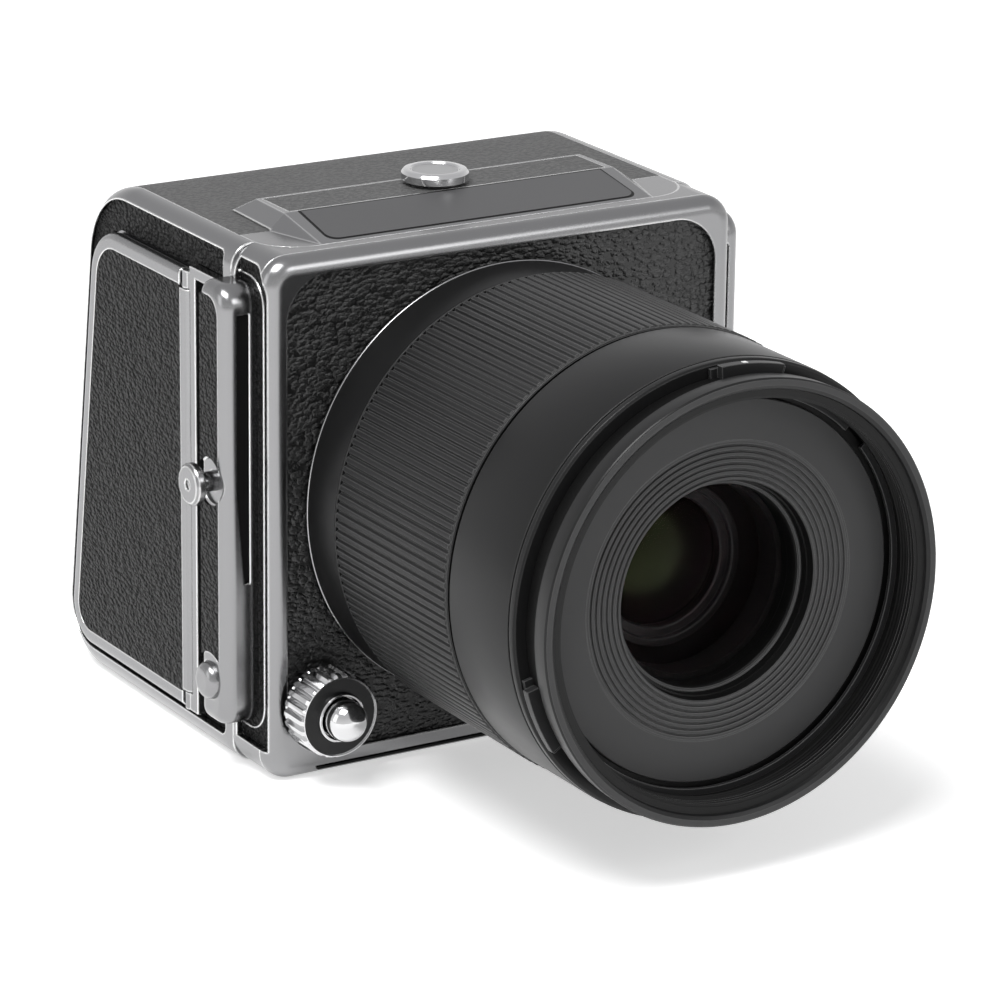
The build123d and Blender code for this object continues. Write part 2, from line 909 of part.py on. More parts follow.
# Leather in the side fields of the thin body, inside and outside the bead
with BuildPart() as field_leathers:
    for side in (-1, 1):
        extrude(field_outline(side * field_x, rim_gap), amount=side * field_leather)
        extrude(
            bead_outline(side * field_x, -flush_gap) - bead_outline(side * field_x, bead_width + flush_gap),
            amount=side * (field_leather + overrun),
            mode=Mode.SUBTRACT,
        )
        extrude(
            block_outline(side * field_x, field_rear),
            amount=side * (field_leather + overrun),
            mode=Mode.SUBTRACT,
        )
field_leathers.part.label = "field_leathers"

# Mushroom lugs for the strap, one on each side
with BuildPart() as strap_lugs:
    for side in (-1, 1):
        with BuildSketch(Plane.YZ.offset(side * (block_x - lug_root))):
            with Locations((strip_y, lug_z)):
                Circle(lug_stem)
        extrude(amount=side * (lug_root + lug_reach))
        with BuildSketch(Plane.YZ.offset(side * (block_x + lug_reach - lug_head_thick))):
            with Locations((strip_y, lug_z)):
                Circle(lug_head)
        extrude(amount=side * lug_head_thick)
    rims = strap_lugs.edges().filter_by(GeomType.CIRCLE).group_by(SortBy.RADIUS)[-1]
    chamfer(rims, length=lug_round)
    for side in (-1, 1):
        with BuildSketch(Plane.YZ.offset(side * (block_x + lug_reach))):
            with Locations((strip_y, lug_z)):
                RegularPolygon(lug_hex, side_count=lug_hex_sides)
        extrude(amount=-side * lug_hex_deep, mode=Mode.SUBTRACT)
strap_lugs.part.label = "strap_lugs"

# Domed button in the left block that frees the lens
with BuildPart() as lens_release_button:
    dome_x = block_x + release_proud
    cap_length = block_proud + release_proud - release_ring - release_travel - close_gap
    with BuildSketch(Plane.YZ.offset(-dome_x)):
        with Locations((strip_y, release_z)):
            Circle(release_radius)
    extrude(amount=cap_length)
    fillet(lens_release_button.faces().sort_by(Axis.X)[0].edges(), radius=release_proud - flush_gap)
    with BuildSketch(Plane.YZ.offset(-dome_x + cap_length)):
        with Locations((strip_y, release_z)):
            Circle(release_stem)
    extrude(amount=shell_wall + release_ring)
lens_release_button.part.label = "lens_release_button"

# Fluted control dial with a recessed face and a raised ring round the button
dial_ring_y = dial_face_y - dial_ring_height
with BuildPart() as control_dial:
    with BuildSketch(facing_front(dial_back_y, dial_x, dial_z)):
        Circle(dial_radius)
        with PolarLocations(dial_radius, dial_flutes):
            Circle(dial_flute_radius, mode=Mode.SUBTRACT)
    extrude(amount=dial_length - dial_rim)
    revolve(
        ring_section(dial_section, dial_face_y + dial_rim, dial_face_y, 0, dial_radius - flush_gap),
        axis=dial_axis,
    )
    revolve(
        ring_section(dial_section, dial_face_y, dial_ring_y, 0, dial_face_inner - flush_gap),
        axis=dial_axis,
    )
    revolve(
        ring_section(dial_section, dial_back_y + dial_hub_length, dial_back_y, 0, dial_hub),
        axis=dial_axis,
    )
    revolve(
        ring_section(
            dial_section,
            dial_face_y + dial_face_thick,
            dial_face_y - overrun,
            dial_face_inner,
            dial_face_outer,
        ),
        axis=dial_axis,
        mode=Mode.SUBTRACT,
    )
    revolve(
        ring_section(
            dial_section, dial_ring_y + button_seat, dial_ring_y - overrun, 0, button_radius + stem_gap
        ),
        axis=dial_axis,
        mode=Mode.SUBTRACT,
    )
    revolve(
        ring_section(
            dial_section, dial_back_y + dial_hub_length + overrun, dial_ring_y, 0, button_stem + stem_gap
        ),
        axis=dial_axis,
        mode=Mode.SUBTRACT,
    )
control_dial.part.label = "control_dial"

# Covering ring let into the face of the dial
with BuildPart() as dial_face:
    revolve(
        ring_section(
            dial_section, dial_face_y + dial_face_thick, dial_face_y, dial_face_inner, dial_face_outer
        ),
        axis=dial_axis,
    )
dial_face.part.label = "dial_face"

# Domed shutter button on a stem that runs through the dial
with BuildPart() as shutter_button:
    button_front_y = dial_face_y - button_proud
    button_back_y = dial_ring_y + button_seat - button_travel - close_gap
    revolve(ring_section(dial_section, button_back_y, button_front_y, 0, button_radius), axis=dial_axis)
    fillet(shutter_button.faces().sort_by(Axis.Y)[0].edges(), radius=button_round)
    stem_end_y = half_base - shell_wall - button_travel - close_gap
    revolve(ring_section(dial_section, stem_end_y, button_back_y, 0, button_stem), axis=dial_axis)
shutter_button.part.label = "shutter_button"

# Bayonet of the lens: a flange, a tube into the seat and three lugs behind the claws
bayonet_back_y = flange_y - flush_gap
barrel_back_y = bayonet_back_y - bayonet_flange
lug_front_y = flange_y + claw_thick + close_gap
with BuildPart() as lens_bayonet:
    revolve(lens_ring(bayonet_back_y, barrel_back_y, tube_inner, mount_outer - flush_gap), axis=lens_axis)
    revolve(lens_ring(lug_front_y + lug_thick, barrel_back_y, tube_inner, tube_radius), axis=lens_axis)
    for lug in range(claw_count):
        middle = claw_turn + lug * full_turn / claw_count
        extrude(
            arc_piece(
                facing_lens(lug_front_y + lug_thick), tube_radius - flush_gap, lug_radius, middle, lug_angle
            ),
            amount=lug_thick,
        )
lens_bayonet.part.label = "lens_bayonet"

# Dark ring at the foot of the lens
with BuildPart() as lens_base_ring:
    base_ring_back_y = leather_y - mount_clearance
    base_ring_front_y = base_ring_back_y - base_ring_length
    base_inner = mount_outer + mount_clearance
    revolve(
        section(
            lens_section,
            (base_ring_back_y, base_inner),
            (base_ring_back_y, base_ring_radius),
            (base_ring_back_y - base_ring_taper, base_ring_radius),
            (base_ring_front_y, base_ring_radius - base_ring_taper),
            (base_ring_front_y, base_inner),
        ),
        axis=lens_axis,
    )
lens_base_ring.part.label = "lens_base_ring"

# Core of the lens, with a floor behind and a seat for each fixed glass
barrel_inner = sleeve_radius - barrel_wall
plate_back_y = plate_y + plate_thick
cone_back_y = plate_back_y + cone_steps * cone_step_length
front_seat_y = cone_back_y + front_glass_edge
floor_front_y = barrel_back_y - barrel_floor
shutter_front_y = front_seat_y + 2 * middle_glass_edge + shutter_thick
middle_y = (front_seat_y + shutter_front_y) / 2
with BuildPart() as lens_barrel:
    revolve(
        lens_ring(barrel_back_y, base_ring_front_y - running_gap, barrel_inner, base_inner - running_gap),
        axis=lens_axis,
    )
    revolve(
        lens_ring(base_ring_front_y - running_gap, plate_back_y, barrel_inner, sleeve_radius),
        axis=lens_axis,
    )
    revolve(lens_ring(barrel_back_y, floor_front_y, tube_inner, barrel_inner + overrun), axis=lens_axis)
    revolve(
        lens_ring(front_seat_y, cone_back_y, front_glass_radius + running_gap, barrel_inner + overrun),
        axis=lens_axis,
    )
    revolve(
        lens_ring(
            middle_y + middle_glass_edge / 2,
            middle_y - middle_glass_edge / 2,
            middle_glass_radius + running_gap,
            barrel_inner + overrun,
        ),
        axis=lens_axis,
    )
lens_barrel.part.label = "lens_barrel"

# Focus ring, cut with straight grooves all round
with BuildPart() as focus_ring:
    groove_back_y = focus_back_y - focus_collar
    with BuildSketch(facing_lens(groove_back_y)):
        Circle(focus_radius)
        with PolarLocations(focus_radius, rib_count):
            Rectangle(2 * groove_depth, groove_width, mode=Mode.SUBTRACT)
        Circle(sleeve_radius + running_gap, mode=Mode.SUBTRACT)
    extrude(amount=focus_length - 2 * focus_collar)
    collar_radius = focus_radius - groove_depth / 2
    revolve(
        lens_ring(focus_back_y, groove_back_y, sleeve_radius + running_gap, collar_radius),
        axis=lens_axis,
    )
    revolve(
        lens_ring(focus_front_y + focus_collar, focus_front_y, sleeve_radius + running_gap, collar_radius),
        axis=lens_axis,
    )
focus_ring.part.label = "focus_ring"

# Smooth front part of the barrel
with BuildPart() as front_barrel:
    front_barrel_back_y = focus_front_y - ring_gap
    revolve(
        lens_ring(front_barrel_back_y, plate_y, sleeve_radius + running_gap, lens_radius),
        axis=lens_axis,
    )
    shoulder = front_barrel.edges().filter_by(GeomType.CIRCLE).group_by(Axis.Y)[0].sort_by(SortBy.RADIUS)[-1]
    chamfer(shoulder, length=barrel_shoulder)
front_barrel.part.label = "front_barrel"

# Rim of the lens: filter thread inside, hood groove and its three tabs outside
with BuildPart() as filter_ring:
    groove_end_y = plate_y - hood_groove_length
    revolve(
        section(
            lens_section,
            (plate_y, filter_wall),
            (plate_y, rim_radius - hood_groove),
            (groove_end_y, rim_radius - hood_groove),
            (groove_end_y, rim_radius),
            (rim_y + close_gap, rim_radius),
            (rim_y, rim_radius - close_gap),
            (rim_y, filter_mouth),
            (rim_y + filter_mouth_depth, filter_wall),
        ),
        axis=lens_axis,
    )
    tab_depth = hood_groove_length / 3
    for tab in range(hood_tab_count):
        middle = hood_tab_turn + tab * full_turn / hood_tab_count
        extrude(
            arc_piece(
                facing_lens(plate_y - tab_depth),
                rim_radius - hood_groove - flush_gap,
                rim_radius + hood_groove / 2,
                middle,
                hood_tab_angle,
            ),
            amount=tab_depth,
        )
filter_ring.part.label = "filter_ring"

# Plain front plate with fine grooves and the stepped tube down to the front glass
with BuildPart() as front_plate:
    revolve(lens_ring(plate_back_y, plate_y, plate_opening, sleeve_radius - running_gap), axis=lens_axis)
    for groove in range(plate_groove_count):
        groove_radius = plate_opening + (groove + 1) * plate_groove_pitch
        revolve(
            lens_ring(
                plate_y + plate_groove_depth,
                plate_y - overrun,
                groove_radius,
                groove_radius + plate_groove_width,
            ),
            axis=lens_axis,
            mode=Mode.SUBTRACT,
        )
    for step in range(cone_steps):
        step_front_y = plate_back_y + step * cone_step_length
        step_inner = plate_opening - (step + 1) * cone_step_in
        revolve(
            lens_ring(step_front_y + cone_step_length, step_front_y, step_inner, step_inner + cone_wall),
            axis=lens_axis,
        )
front_plate.part.label = "front_plate"

# Glass elements
with BuildPart() as front_element:
    revolve(
        lens_glass(
            cone_back_y + front_glass_edge / 2, front_glass_radius, front_glass_edge, front_glass_sag
        ),
        axis=lens_axis,
    )
front_element.part.label = "front_element"

with BuildPart() as middle_element:
    revolve(lens_glass(middle_y, middle_glass_radius, middle_glass_edge), axis=lens_axis)
middle_element.part.label = "middle_element"

# Sealed leaf shutter
with BuildPart() as shutter_unit:
    shutter_back_y = shutter_front_y + shutter_thick
    revolve(
        lens_ring(shutter_back_y, shutter_front_y, shutter_bore, barrel_inner - running_gap),
        axis=lens_axis,
    )
shutter_unit.part.label = "shutter_unit"

# Two rods that guide the focusing carrier
with BuildPart() as guide_rods:
    with BuildSketch(facing_lens(floor_front_y)):
        with PolarLocations(rod_circle_radius, rod_count):
            Circle(rod_radius)
    extrude(amount=floor_front_y - shutter_back_y)
guide_rods.part.label = "guide_rods"

# Carrier with the glass that moves to focus
carrier_front_y = shutter_back_y + focus_travel + carrier_back
with BuildPart() as focus_carrier:
    with BuildSketch(facing_lens(carrier_front_y + carrier_thick)):
        Circle(carrier_radius)
        Circle(moving_glass_radius + running_gap, mode=Mode.SUBTRACT)
        with PolarLocations(rod_circle_radius, rod_count):
            Circle(rod_radius + running_gap, mode=Mode.SUBTRACT)
    extrude(amount=carrier_thick)
focus_carrier.part.label = "focus_carrier"

with BuildPart() as focus_element:
    revolve(
        lens_glass(carrier_front_y + carrier_thick / 2, moving_glass_radius, moving_glass_edge),
        axis=lens_axis,
    )
focus_element.part.label = "focus_element"

# Rear cell and its glass
with BuildPart() as rear_cell:
    cell_outer = tube_inner - flush_gap
    cell_back_y = floor_front_y - 2 * cell_wall + rear_cell_length
    revolve(
        lens_ring(cell_back_y, floor_front_y - cell_wall, rear_glass_radius + running_gap, cell_outer),
        axis=lens_axis,
    )
    revolve(
        lens_ring(
            floor_front_y, floor_front_y - cell_wall, rear_glass_radius + running_gap, cell_outer + cell_wall
        ),
        axis=lens_axis,
    )
rear_cell.part.label = "rear_cell"

with BuildPart() as rear_element:
    revolve(
        lens_glass(cell_back_y - rear_glass_edge, rear_glass_radius, rear_glass_edge),
        axis=lens_axis,
    )
rear_element.part.label = "rear_element"


def roof_layer(outset, front):
    """A layer as thick as the leather over the roof and crown of the digital back, from this Y back."""
    with BuildPart(mode=Mode.PRIVATE) as layer:
        extrude(side_outline(0, -outset, -outset, -outset, front), amount=top_leather_half, both=True)
        extrude(
            side_outline(0, leather, leather, leather, front - overrun),
            amount=top_leather_half + overrun,
            both=True,
            mode=Mode.SUBTRACT,
        )
        split(bisect_by=Plane.XY.offset(top_leather_end), keep=Keep.TOP)
    return layer.part


def wall_window(side, y, z, width, height, gap):
    """A rectangle in a side wall, from its low front corner, grown by a gap all round."""
    with BuildSketch(Plane.YZ.offset(side * (half_width + overrun)), mode=Mode.PRIVATE) as window:
        with Locations((y + width / 2, z + height / 2)):
            Rectangle(width + 2 * gap, height + 2 * gap)
    return window.sketch


def rear_panel(depth, width, foot, head, corner):
    """A rounded rectangle this deep under the leaning rear face, between two heights along it."""
    with BuildSketch(rear_face.offset(-depth), mode=Mode.PRIVATE) as panel:
        with Locations((0, (foot + head) / 2)):
            RectangleRounded(width, head - foot, corner)
    return panel.sketch


def rear_button_places():
    """Places of the rear buttons on the rear face, left to right as the user sees them."""
    first = -(rear_button_count - 1) / 2 * rear_button_pitch
    return [(first + i * rear_button_pitch, rear_button_up) for i in range(rear_button_count)]


def rear_slot(depth, place, grow):
    """Outline of one rear button, grown all round."""
    with BuildSketch(rear_face.offset(-depth), mode=Mode.PRIVATE) as slot:
        with Locations(place):
            SlotOverall(rear_button_width + 2 * grow, rear_button_height + 2 * grow)
    return slot.sketch


wall_in_x = half_width - side_wall
bay_front_y = card_y - bay_wall
bay_rear_y = card_y + card_width + bay_wall
bay_foot = battery_z - bay_wall
bay_head = card_z + (card_count - 1) * card_pitch + card_thick + bay_wall
port_y = bay_rear_y - port_height
card_places = [card_z + i * card_pitch for i in range(card_count)]
port_places = [port_first_z + i * port_pitch for i in range(port_count)]

# Housing of the digital back, open in front
with BuildPart() as back_shell:
    extrude(side_outline(0, 0, 0, 0, seam_y), amount=half_width, both=True)
    for end in (0, -1):
        side_face = back_shell.faces().filter_by(Axis.X).sort_by(Axis.X)[end]
        long_edges = [edge for edge in side_face.edges() if edge.center().Y > seam_y + back_wall]
        fillet(long_edges, radius=edge_round)
    extrude(
        side_outline(0, back_wall, back_wall, back_wall, seam_y - overrun),
        amount=wall_in_x,
        both=True,
        mode=Mode.SUBTRACT,
    )
    for side in (-1, 1):
        extrude(
            side_outline(
                side * side_floor, recess_top, recess_rear, recess_bottom, seam_y + front_band, recess_corner
            ),
            amount=side * (recess_deep + overrun),
            mode=Mode.SUBTRACT,
        )
    add(roof_layer(overrun, seam_y - overrun), mode=Mode.SUBTRACT)
    extrude(
        rear_panel(cover_thick, cover_width, cover_foot, cover_head, cover_corner),
        amount=cover_thick + overrun,
        mode=Mode.SUBTRACT,
    )
    extrude(
        rear_panel(
            back_wall + overrun,
            cover_width - 2 * cover_ledge,
            cover_foot + cover_ledge,
            cover_head - cover_ledge,
            cover_corner - cover_ledge,
        ),
        amount=back_wall + 2 * overrun,
        mode=Mode.SUBTRACT,
    )
    extrude(
        wall_window(-1, battery_y, battery_z, battery_width, battery_height, chassis_gap),
        amount=side_wall + 2 * overrun,
        mode=Mode.SUBTRACT,
    )
    for place in card_places:
        extrude(
            wall_window(-1, card_y, place, card_width, card_thick, chassis_gap),
            amount=side_wall + 2 * overrun,
            mode=Mode.SUBTRACT,
        )
    for place in port_places:
        extrude(
            wall_window(1, port_y, place, port_height, port_width, chassis_gap),
            amount=-side_wall - 2 * overrun,
            mode=Mode.SUBTRACT,
        )
back_shell.part.label = "back_shell"

# Leather over the roof and the crown of the digital back
with BuildPart() as top_leather:
    add(roof_layer(0, skirt_rear_y + flush_gap))
top_leather.part.label = "top_leather"

# Leather on the recessed side walls, cut away under the doors
frame_front_y = door_front - strip_gap - strip_width
return_front_y = seam_y + front_band + rim_gap
door_head = body_height - door_top
strip_top = door_head + strip_above
with BuildPart() as side_leathers:
    for side in (-1, 1):
        extrude(
            side_outline(
                side * side_floor,
                recess_top + rim_gap,
                recess_rear + rim_gap,
                recess_bottom + rim_gap,
                seam_y + front_band + rim_gap,
                recess_corner,
            ),
            amount=side * side_leather_thick,
        )
        extrude(
            side_outline(
                side * (side_floor - overrun),
                door_top - close_gap,
                door_rear - close_gap,
                door_bottom - close_gap,
                frame_front_y - rim_gap,
            ),
            amount=side * (side_leather_thick + 2 * overrun),
            mode=Mode.SUBTRACT,
        )
        with BuildSketch(Plane.YZ.offset(side * (side_floor - overrun))):
            with Locations(((return_front_y + door_front) / 2, strip_top - strip_width / 2)):
                Rectangle(door_front - return_front_y + 2 * rim_gap, strip_width + 2 * rim_gap)
        extrude(amount=side * (side_leather_thick + 2 * overrun), mode=Mode.SUBTRACT)
side_leathers.part.label = "side_leathers"

# Fixed strips beside the doors, with the ears that hold the hinge pins
ear_radius = door_thick / 2
ear_feet = (door_bottom, door_head - ear_height)
with BuildPart() as door_frames:
    for side in (-1, 1):
        with BuildSketch(Plane.YZ.offset(side * side_floor)):
            with Locations((frame_front_y + strip_width / 2, (door_bottom + strip_top) / 2)):
                Rectangle(strip_width, strip_top - door_bottom)
            with Locations(((return_front_y + frame_front_y) / 2, strip_top - strip_width / 2)):
                Rectangle(frame_front_y - return_front_y, strip_width)
        extrude(amount=side * (close_gap + door_thick - strip_low))
        for foot in ear_feet:
            with BuildSketch(Plane.XY.offset(foot)):
                with Locations((side * hinge_x, hinge_y)):
                    Circle(ear_radius)
            extrude(amount=ear_height)
            with BuildSketch(Plane.XY.offset(foot)):
                with Locations((side * hinge_x, (frame_front_y + strip_width / 2 + hinge_y) / 2)):
                    Rectangle(door_thick - 2 * strip_low, hinge_y - frame_front_y - strip_width / 2)
            extrude(amount=ear_height)
            with BuildSketch(Plane.XY.offset(foot - overrun)):
                with Locations((side * hinge_x, hinge_y)):
                    Circle(pin_radius)
            extrude(amount=ear_height + 2 * overrun, mode=Mode.SUBTRACT)
door_frames.part.label = "door_frames"

# Hinge pins, pressed into the ears
with BuildPart() as door_pins:
    for side in (-1, 1):
        for foot in (door_bottom, door_head - pin_length):
            with BuildSketch(Plane.XY.offset(foot)):
                with Locations((side * hinge_x, hinge_y)):
                    Circle(pin_radius)
            extrude(amount=pin_length)
door_pins.part.label = "door_pins"


def side_door(side):
    """A raised door with a rounded border, a sunk field for its leather and its hinge holes."""
    inner_x = side_floor + close_gap
    with BuildPart(mode=Mode.PRIVATE) as door:
        extrude(
            side_outline(side * inner_x, door_top, door_rear, door_bottom, door_front, door_corner),
            amount=side * door_thick,
        )
        outer_face = door.faces().filter_by(Axis.X).sort_by(Axis.X)[0 if side < 0 else -1]
        fillet(outer_face.edges(), radius=door_round)
        inner_face = door.faces().filter_by(Axis.X).sort_by(Axis.X)[-1 if side < 0 else 0]
        fillet(inner_face.edges().filter_by(Axis.Z).sort_by(Axis.Y)[0], radius=door_round)
        extrude(
            side_outline(
                side * (inner_x + door_thick - door_leather_thick),
                door_top + door_border,
                door_rear + door_border,
                door_bottom + door_border,
                door_front + door_border,
                door_corner,
            ),
            amount=side * (door_leather_thick + overrun),
            mode=Mode.SUBTRACT,
        )
        for foot, way in ((door_bottom, 1), (door_head, -1)):
            notch_z = foot + way * (ear_height + ear_gap) / 2
            notch_long = 2 * (ear_radius + ear_gap)
            with BuildSketch(Plane.XY.offset(notch_z)):
                with Locations((side * hinge_x, hinge_y)):
                    Rectangle(2 * door_thick, notch_long)
            extrude(amount=(ear_height + ear_gap) / 2, both=True, mode=Mode.SUBTRACT)
            with BuildSketch(Plane.XY.offset(foot)):
                with Locations((side * hinge_x, hinge_y)):
                    Circle(pin_radius + running_gap)
            extrude(amount=way * (pin_length + ear_gap), mode=Mode.SUBTRACT)
    return door.part


def side_door_leather(side):
    """The leather in the field of a door."""
    border = door_border + running_gap
    return extrude(
        side_outline(
            side * (side_floor + close_gap + door_thick - door_leather_thick),
            door_top + border,
            door_rear + border,
            door_bottom + border,
            door_front + border,
            door_corner,
        ),
        amount=side * door_leather_thick,
        mode=Mode.PRIVATE,
    )


with BuildPart() as battery_door:
    add(side_door(-1))
battery_door.part.label = "battery_door"

with BuildPart() as battery_door_leather:
    add(side_door_leather(-1))
battery_door_leather.part.label = "battery_door_leather"

with BuildPart() as port_door:
    add(side_door(1))
port_door.part.label = "port_door"

with BuildPart() as port_door_leather:
    add(side_door_leather(1))
port_door_leather.part.label = "port_door_leather"

# Bay that holds the battery and the memory cards
battery_out_x = side_floor - close_gap
with BuildPart() as battery_bay:
    bay_width = bay_rear_y - bay_front_y
    with BuildSketch(Plane.YZ.offset(-wall_in_x)):
        with Locations((bay_front_y + bay_width / 2, (bay_foot + bay_head) / 2)):
            Rectangle(bay_width, bay_head - bay_foot)
    extrude(amount=battery_length)
    extrude(
        wall_window(-1, battery_y, battery_z, battery_width, battery_height, chassis_gap),
        amount=overrun + half_width - battery_out_x + battery_length,
        mode=Mode.SUBTRACT,
    )
    for place in card_places:
        extrude(
            wall_window(-1, card_y, place, card_width, card_thick, chassis_gap),
            amount=overrun + half_width - battery_out_x + card_length,
            mode=Mode.SUBTRACT,
        )
battery_bay.part.label = "battery_bay"

with BuildPart() as battery:
    with BuildSketch(Plane.YZ.offset(-battery_out_x)):
        with Locations((battery_y + battery_width / 2, battery_z + battery_height / 2)):
            RectangleRounded(battery_width, battery_height, battery_round)
    extrude(amount=battery_length - running_gap)
battery.part.label = "battery"

with BuildPart() as memory_cards:
    for place in card_places:
        with BuildSketch(Plane.YZ.offset(-battery_out_x)):
            with Locations((card_y + card_width / 2, place + card_thick / 2)):
                Rectangle(card_width, card_thick)
        extrude(amount=card_length - running_gap)
memory_cards.part.label = "memory_cards"

# Front plate of the digital back, with a window for the sensor
plate_front_y = seam_y + flush_gap
plate_width = 2 * (wall_in_x - flush_gap)
plate_height = body_height - 2 * (back_wall + flush_gap)
with BuildPart() as back_front_plate:
    with BuildSketch(facing_front(plate_front_y + front_plate_thick, 0, body_height / 2)):
        Rectangle(plate_width, plate_height)
    extrude(amount=front_plate_thick)
    with BuildSketch(facing_lens(plate_front_y + front_plate_thick + overrun)):
        Rectangle(sensor_width + 2 * sensor_border, sensor_height + 2 * sensor_border)
    extrude(amount=front_plate_thick + 2 * overrun, mode=Mode.SUBTRACT)
back_front_plate.part.label = "back_front_plate"

# Sensor package on its carrier plate and four posts
package_front_y = sensor_y - sensor_cover
package_back_y = package_front_y + package_thick
post_x = package_width / 2 + carrier_plate_side / 2
post_z = package_height / 2 + carrier_plate_side / 2
with BuildPart() as sensor:
    with BuildSketch(facing_lens(package_back_y)):
        Rectangle(package_width, package_height)
    extrude(amount=package_thick)
    with BuildSketch(facing_lens(package_back_y + carrier_plate_thick)):
        Rectangle(package_width + 2 * carrier_plate_side, package_height + 2 * carrier_plate_side)
    extrude(amount=carrier_plate_thick)
    with BuildSketch(facing_lens(package_back_y)):
        with GridLocations(2 * post_x, 2 * post_z, 2, 2):
            Circle(post_radius)
    extrude(amount=package_back_y - plate_front_y - front_plate_thick)
sensor.part.label = "sensor"

# Main board with the row of connectors behind the port door
with BuildPart() as main_board:
    with BuildSketch(facing_front(bay_rear_y + board_thick)):
        with Locations((0, board_z + board_height / 2)):
            Rectangle(board_width, board_height)
    extrude(amount=board_thick)
    for place in port_places:
        port_out_x = side_floor - close_gap
        with BuildSketch(Plane.YZ.offset(port_out_x)):
            with Locations((port_y + port_height / 2, place + port_width / 2)):
                Rectangle(port_height, port_width)
        extrude(amount=-port_depth)
        with BuildSketch(Plane.YZ.offset(port_out_x)):
            with Locations((port_y + port_height / 2, place + port_width / 2)):
                Rectangle(port_height - 2 * port_wall, port_width - 2 * port_wall)
        extrude(amount=-port_depth + bay_wall, mode=Mode.SUBTRACT)
main_board.part.label = "main_board"

# Rear cover with a field for the screen, its hinge ears and the holes for five buttons
pocket_depth = screen_sunk + close_gap
screen_out = screen_thick - screen_sunk
screen_axis_up = screen_head - screen_thick / 2
screen_axis_out = screen_thick / 2 - screen_sunk
ear_x = screen_width / 2 + close_gap
screen_pin_plane = Plane(
    origin=rear_face.from_local_coords((0, screen_axis_up, screen_axis_out)),
    x_dir=(0, 1, 0),
    z_dir=(1, 0, 0),
)
with BuildPart() as rear_cover:
    extrude(
        rear_panel(
            cover_thick,
            cover_width - 2 * running_gap,
            cover_foot + running_gap,
            cover_head - running_gap,
            cover_corner,
        ),
        amount=cover_thick,
    )
    extrude(
        rear_panel(
            pocket_depth,
            screen_width + 2 * close_gap,
            screen_foot - close_gap,
            screen_head + close_gap,
            screen_corner,
        ),
        amount=pocket_depth + overrun,
        mode=Mode.SUBTRACT,
    )
    with BuildSketch(rear_face.offset(-pocket_depth)):
        with Locations((0, screen_axis_up)):
            with GridLocations(2 * ear_x + screen_ear, 0, 2, 1):
                Rectangle(screen_ear, screen_thick)
    extrude(amount=pocket_depth + screen_axis_out + screen_pin + stem_gap + running_gap)
    for side in (-1, 1):
        with BuildSketch(screen_pin_plane.offset(side * (ear_x - overrun))):
            Circle(screen_pin + running_gap)
        extrude(amount=side * (screen_pin_length + overrun), mode=Mode.SUBTRACT)
    for place in rear_button_places():
        extrude(
            rear_slot(cover_thick + overrun, place, stem_gap),
            amount=cover_thick + 2 * overrun,
            mode=Mode.SUBTRACT,
        )
rear_cover.part.label = "rear_cover"

# Frame of the tilting screen, with a stub pin at each end of its top edge
with BuildPart() as screen_frame:
    extrude(
        rear_panel(screen_sunk, screen_width, screen_foot, screen_head, screen_corner),
        amount=screen_thick,
    )
    top_edges = screen_frame.edges().filter_by(Axis.X).group_by(Axis.Z)
    fillet(top_edges[-1] + top_edges[-2], radius=screen_thick / 2 - running_gap)
    extrude(
        rear_panel(
            glass_thick - screen_out,
            screen_width - 2 * glass_border,
            screen_foot + glass_border,
            screen_head - glass_border - screen_thick / 2,
            screen_corner / 2,
        ),
        amount=glass_thick + overrun,
        mode=Mode.SUBTRACT,
    )
    with BuildSketch(screen_pin_plane):
        Circle(screen_pin)
    extrude(amount=ear_x + screen_pin_length - running_gap - close_gap, both=True)
screen_frame.part.label = "screen_frame"

with BuildPart() as screen_glass:
    extrude(
        rear_panel(
            glass_thick - screen_out,
            screen_width - 2 * glass_border - running_gap,
            screen_foot + glass_border + running_gap,
            screen_head - glass_border - screen_thick / 2 - running_gap,
            screen_corner / 2,
        ),
        amount=glass_thick,
    )
screen_glass.part.label = "screen_glass"

# Five push buttons in a row under the screen
rear_buttons = []
for number, place in enumerate(rear_button_places(), start=1):
    with BuildPart() as rear_button:
        extrude(
            rear_slot(cover_thick + rear_button_flange, place, 0),
            amount=cover_thick + rear_button_flange + rear_button_proud,
        )
        extrude(
            rear_slot(cover_thick + running_gap + rear_button_flange, place, rear_button_flange),
            amount=rear_button_flange,
        )
    rear_button.part.label = f"rear_button_{number}"
    rear_buttons.append(rear_button)

# One file for each piece
thin_body = (
    front_frame, body_shell, base_plate, chassis, front_leather, lens_mount, contact_block, lens_lock_pin,
    top_plate, nameplate, hood_leather, back_release_knob, side_block_left, side_block_right, block_leathers,
    field_leathers, strap_lugs, lens_release_button, shutter_button, control_dial, dial_face,
)
lens = (
    lens_bayonet, lens_base_ring, lens_barrel, focus_ring, front_barrel, filter_ring, front_plate,
    front_element, middle_element, shutter_unit, guide_rods, focus_carrier, focus_element, rear_cell,
    rear_element,
)
digital_back = (
    back_shell, top_leather, side_leathers, door_frames, door_pins, battery_door, battery_door_leather,
    port_door, port_door_leather, battery_bay, battery, memory_cards, back_front_plate, sensor, main_board,
    rear_cover, screen_frame, screen_glass,
)
for piece in (*thin_body, *lens, *digital_back, *rear_buttons):
    export_step(piece.part, f"parts/{piece.part.label}.step")
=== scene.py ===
import json
import math

import bmesh
import bpy
from mathutils import Matrix, Vector


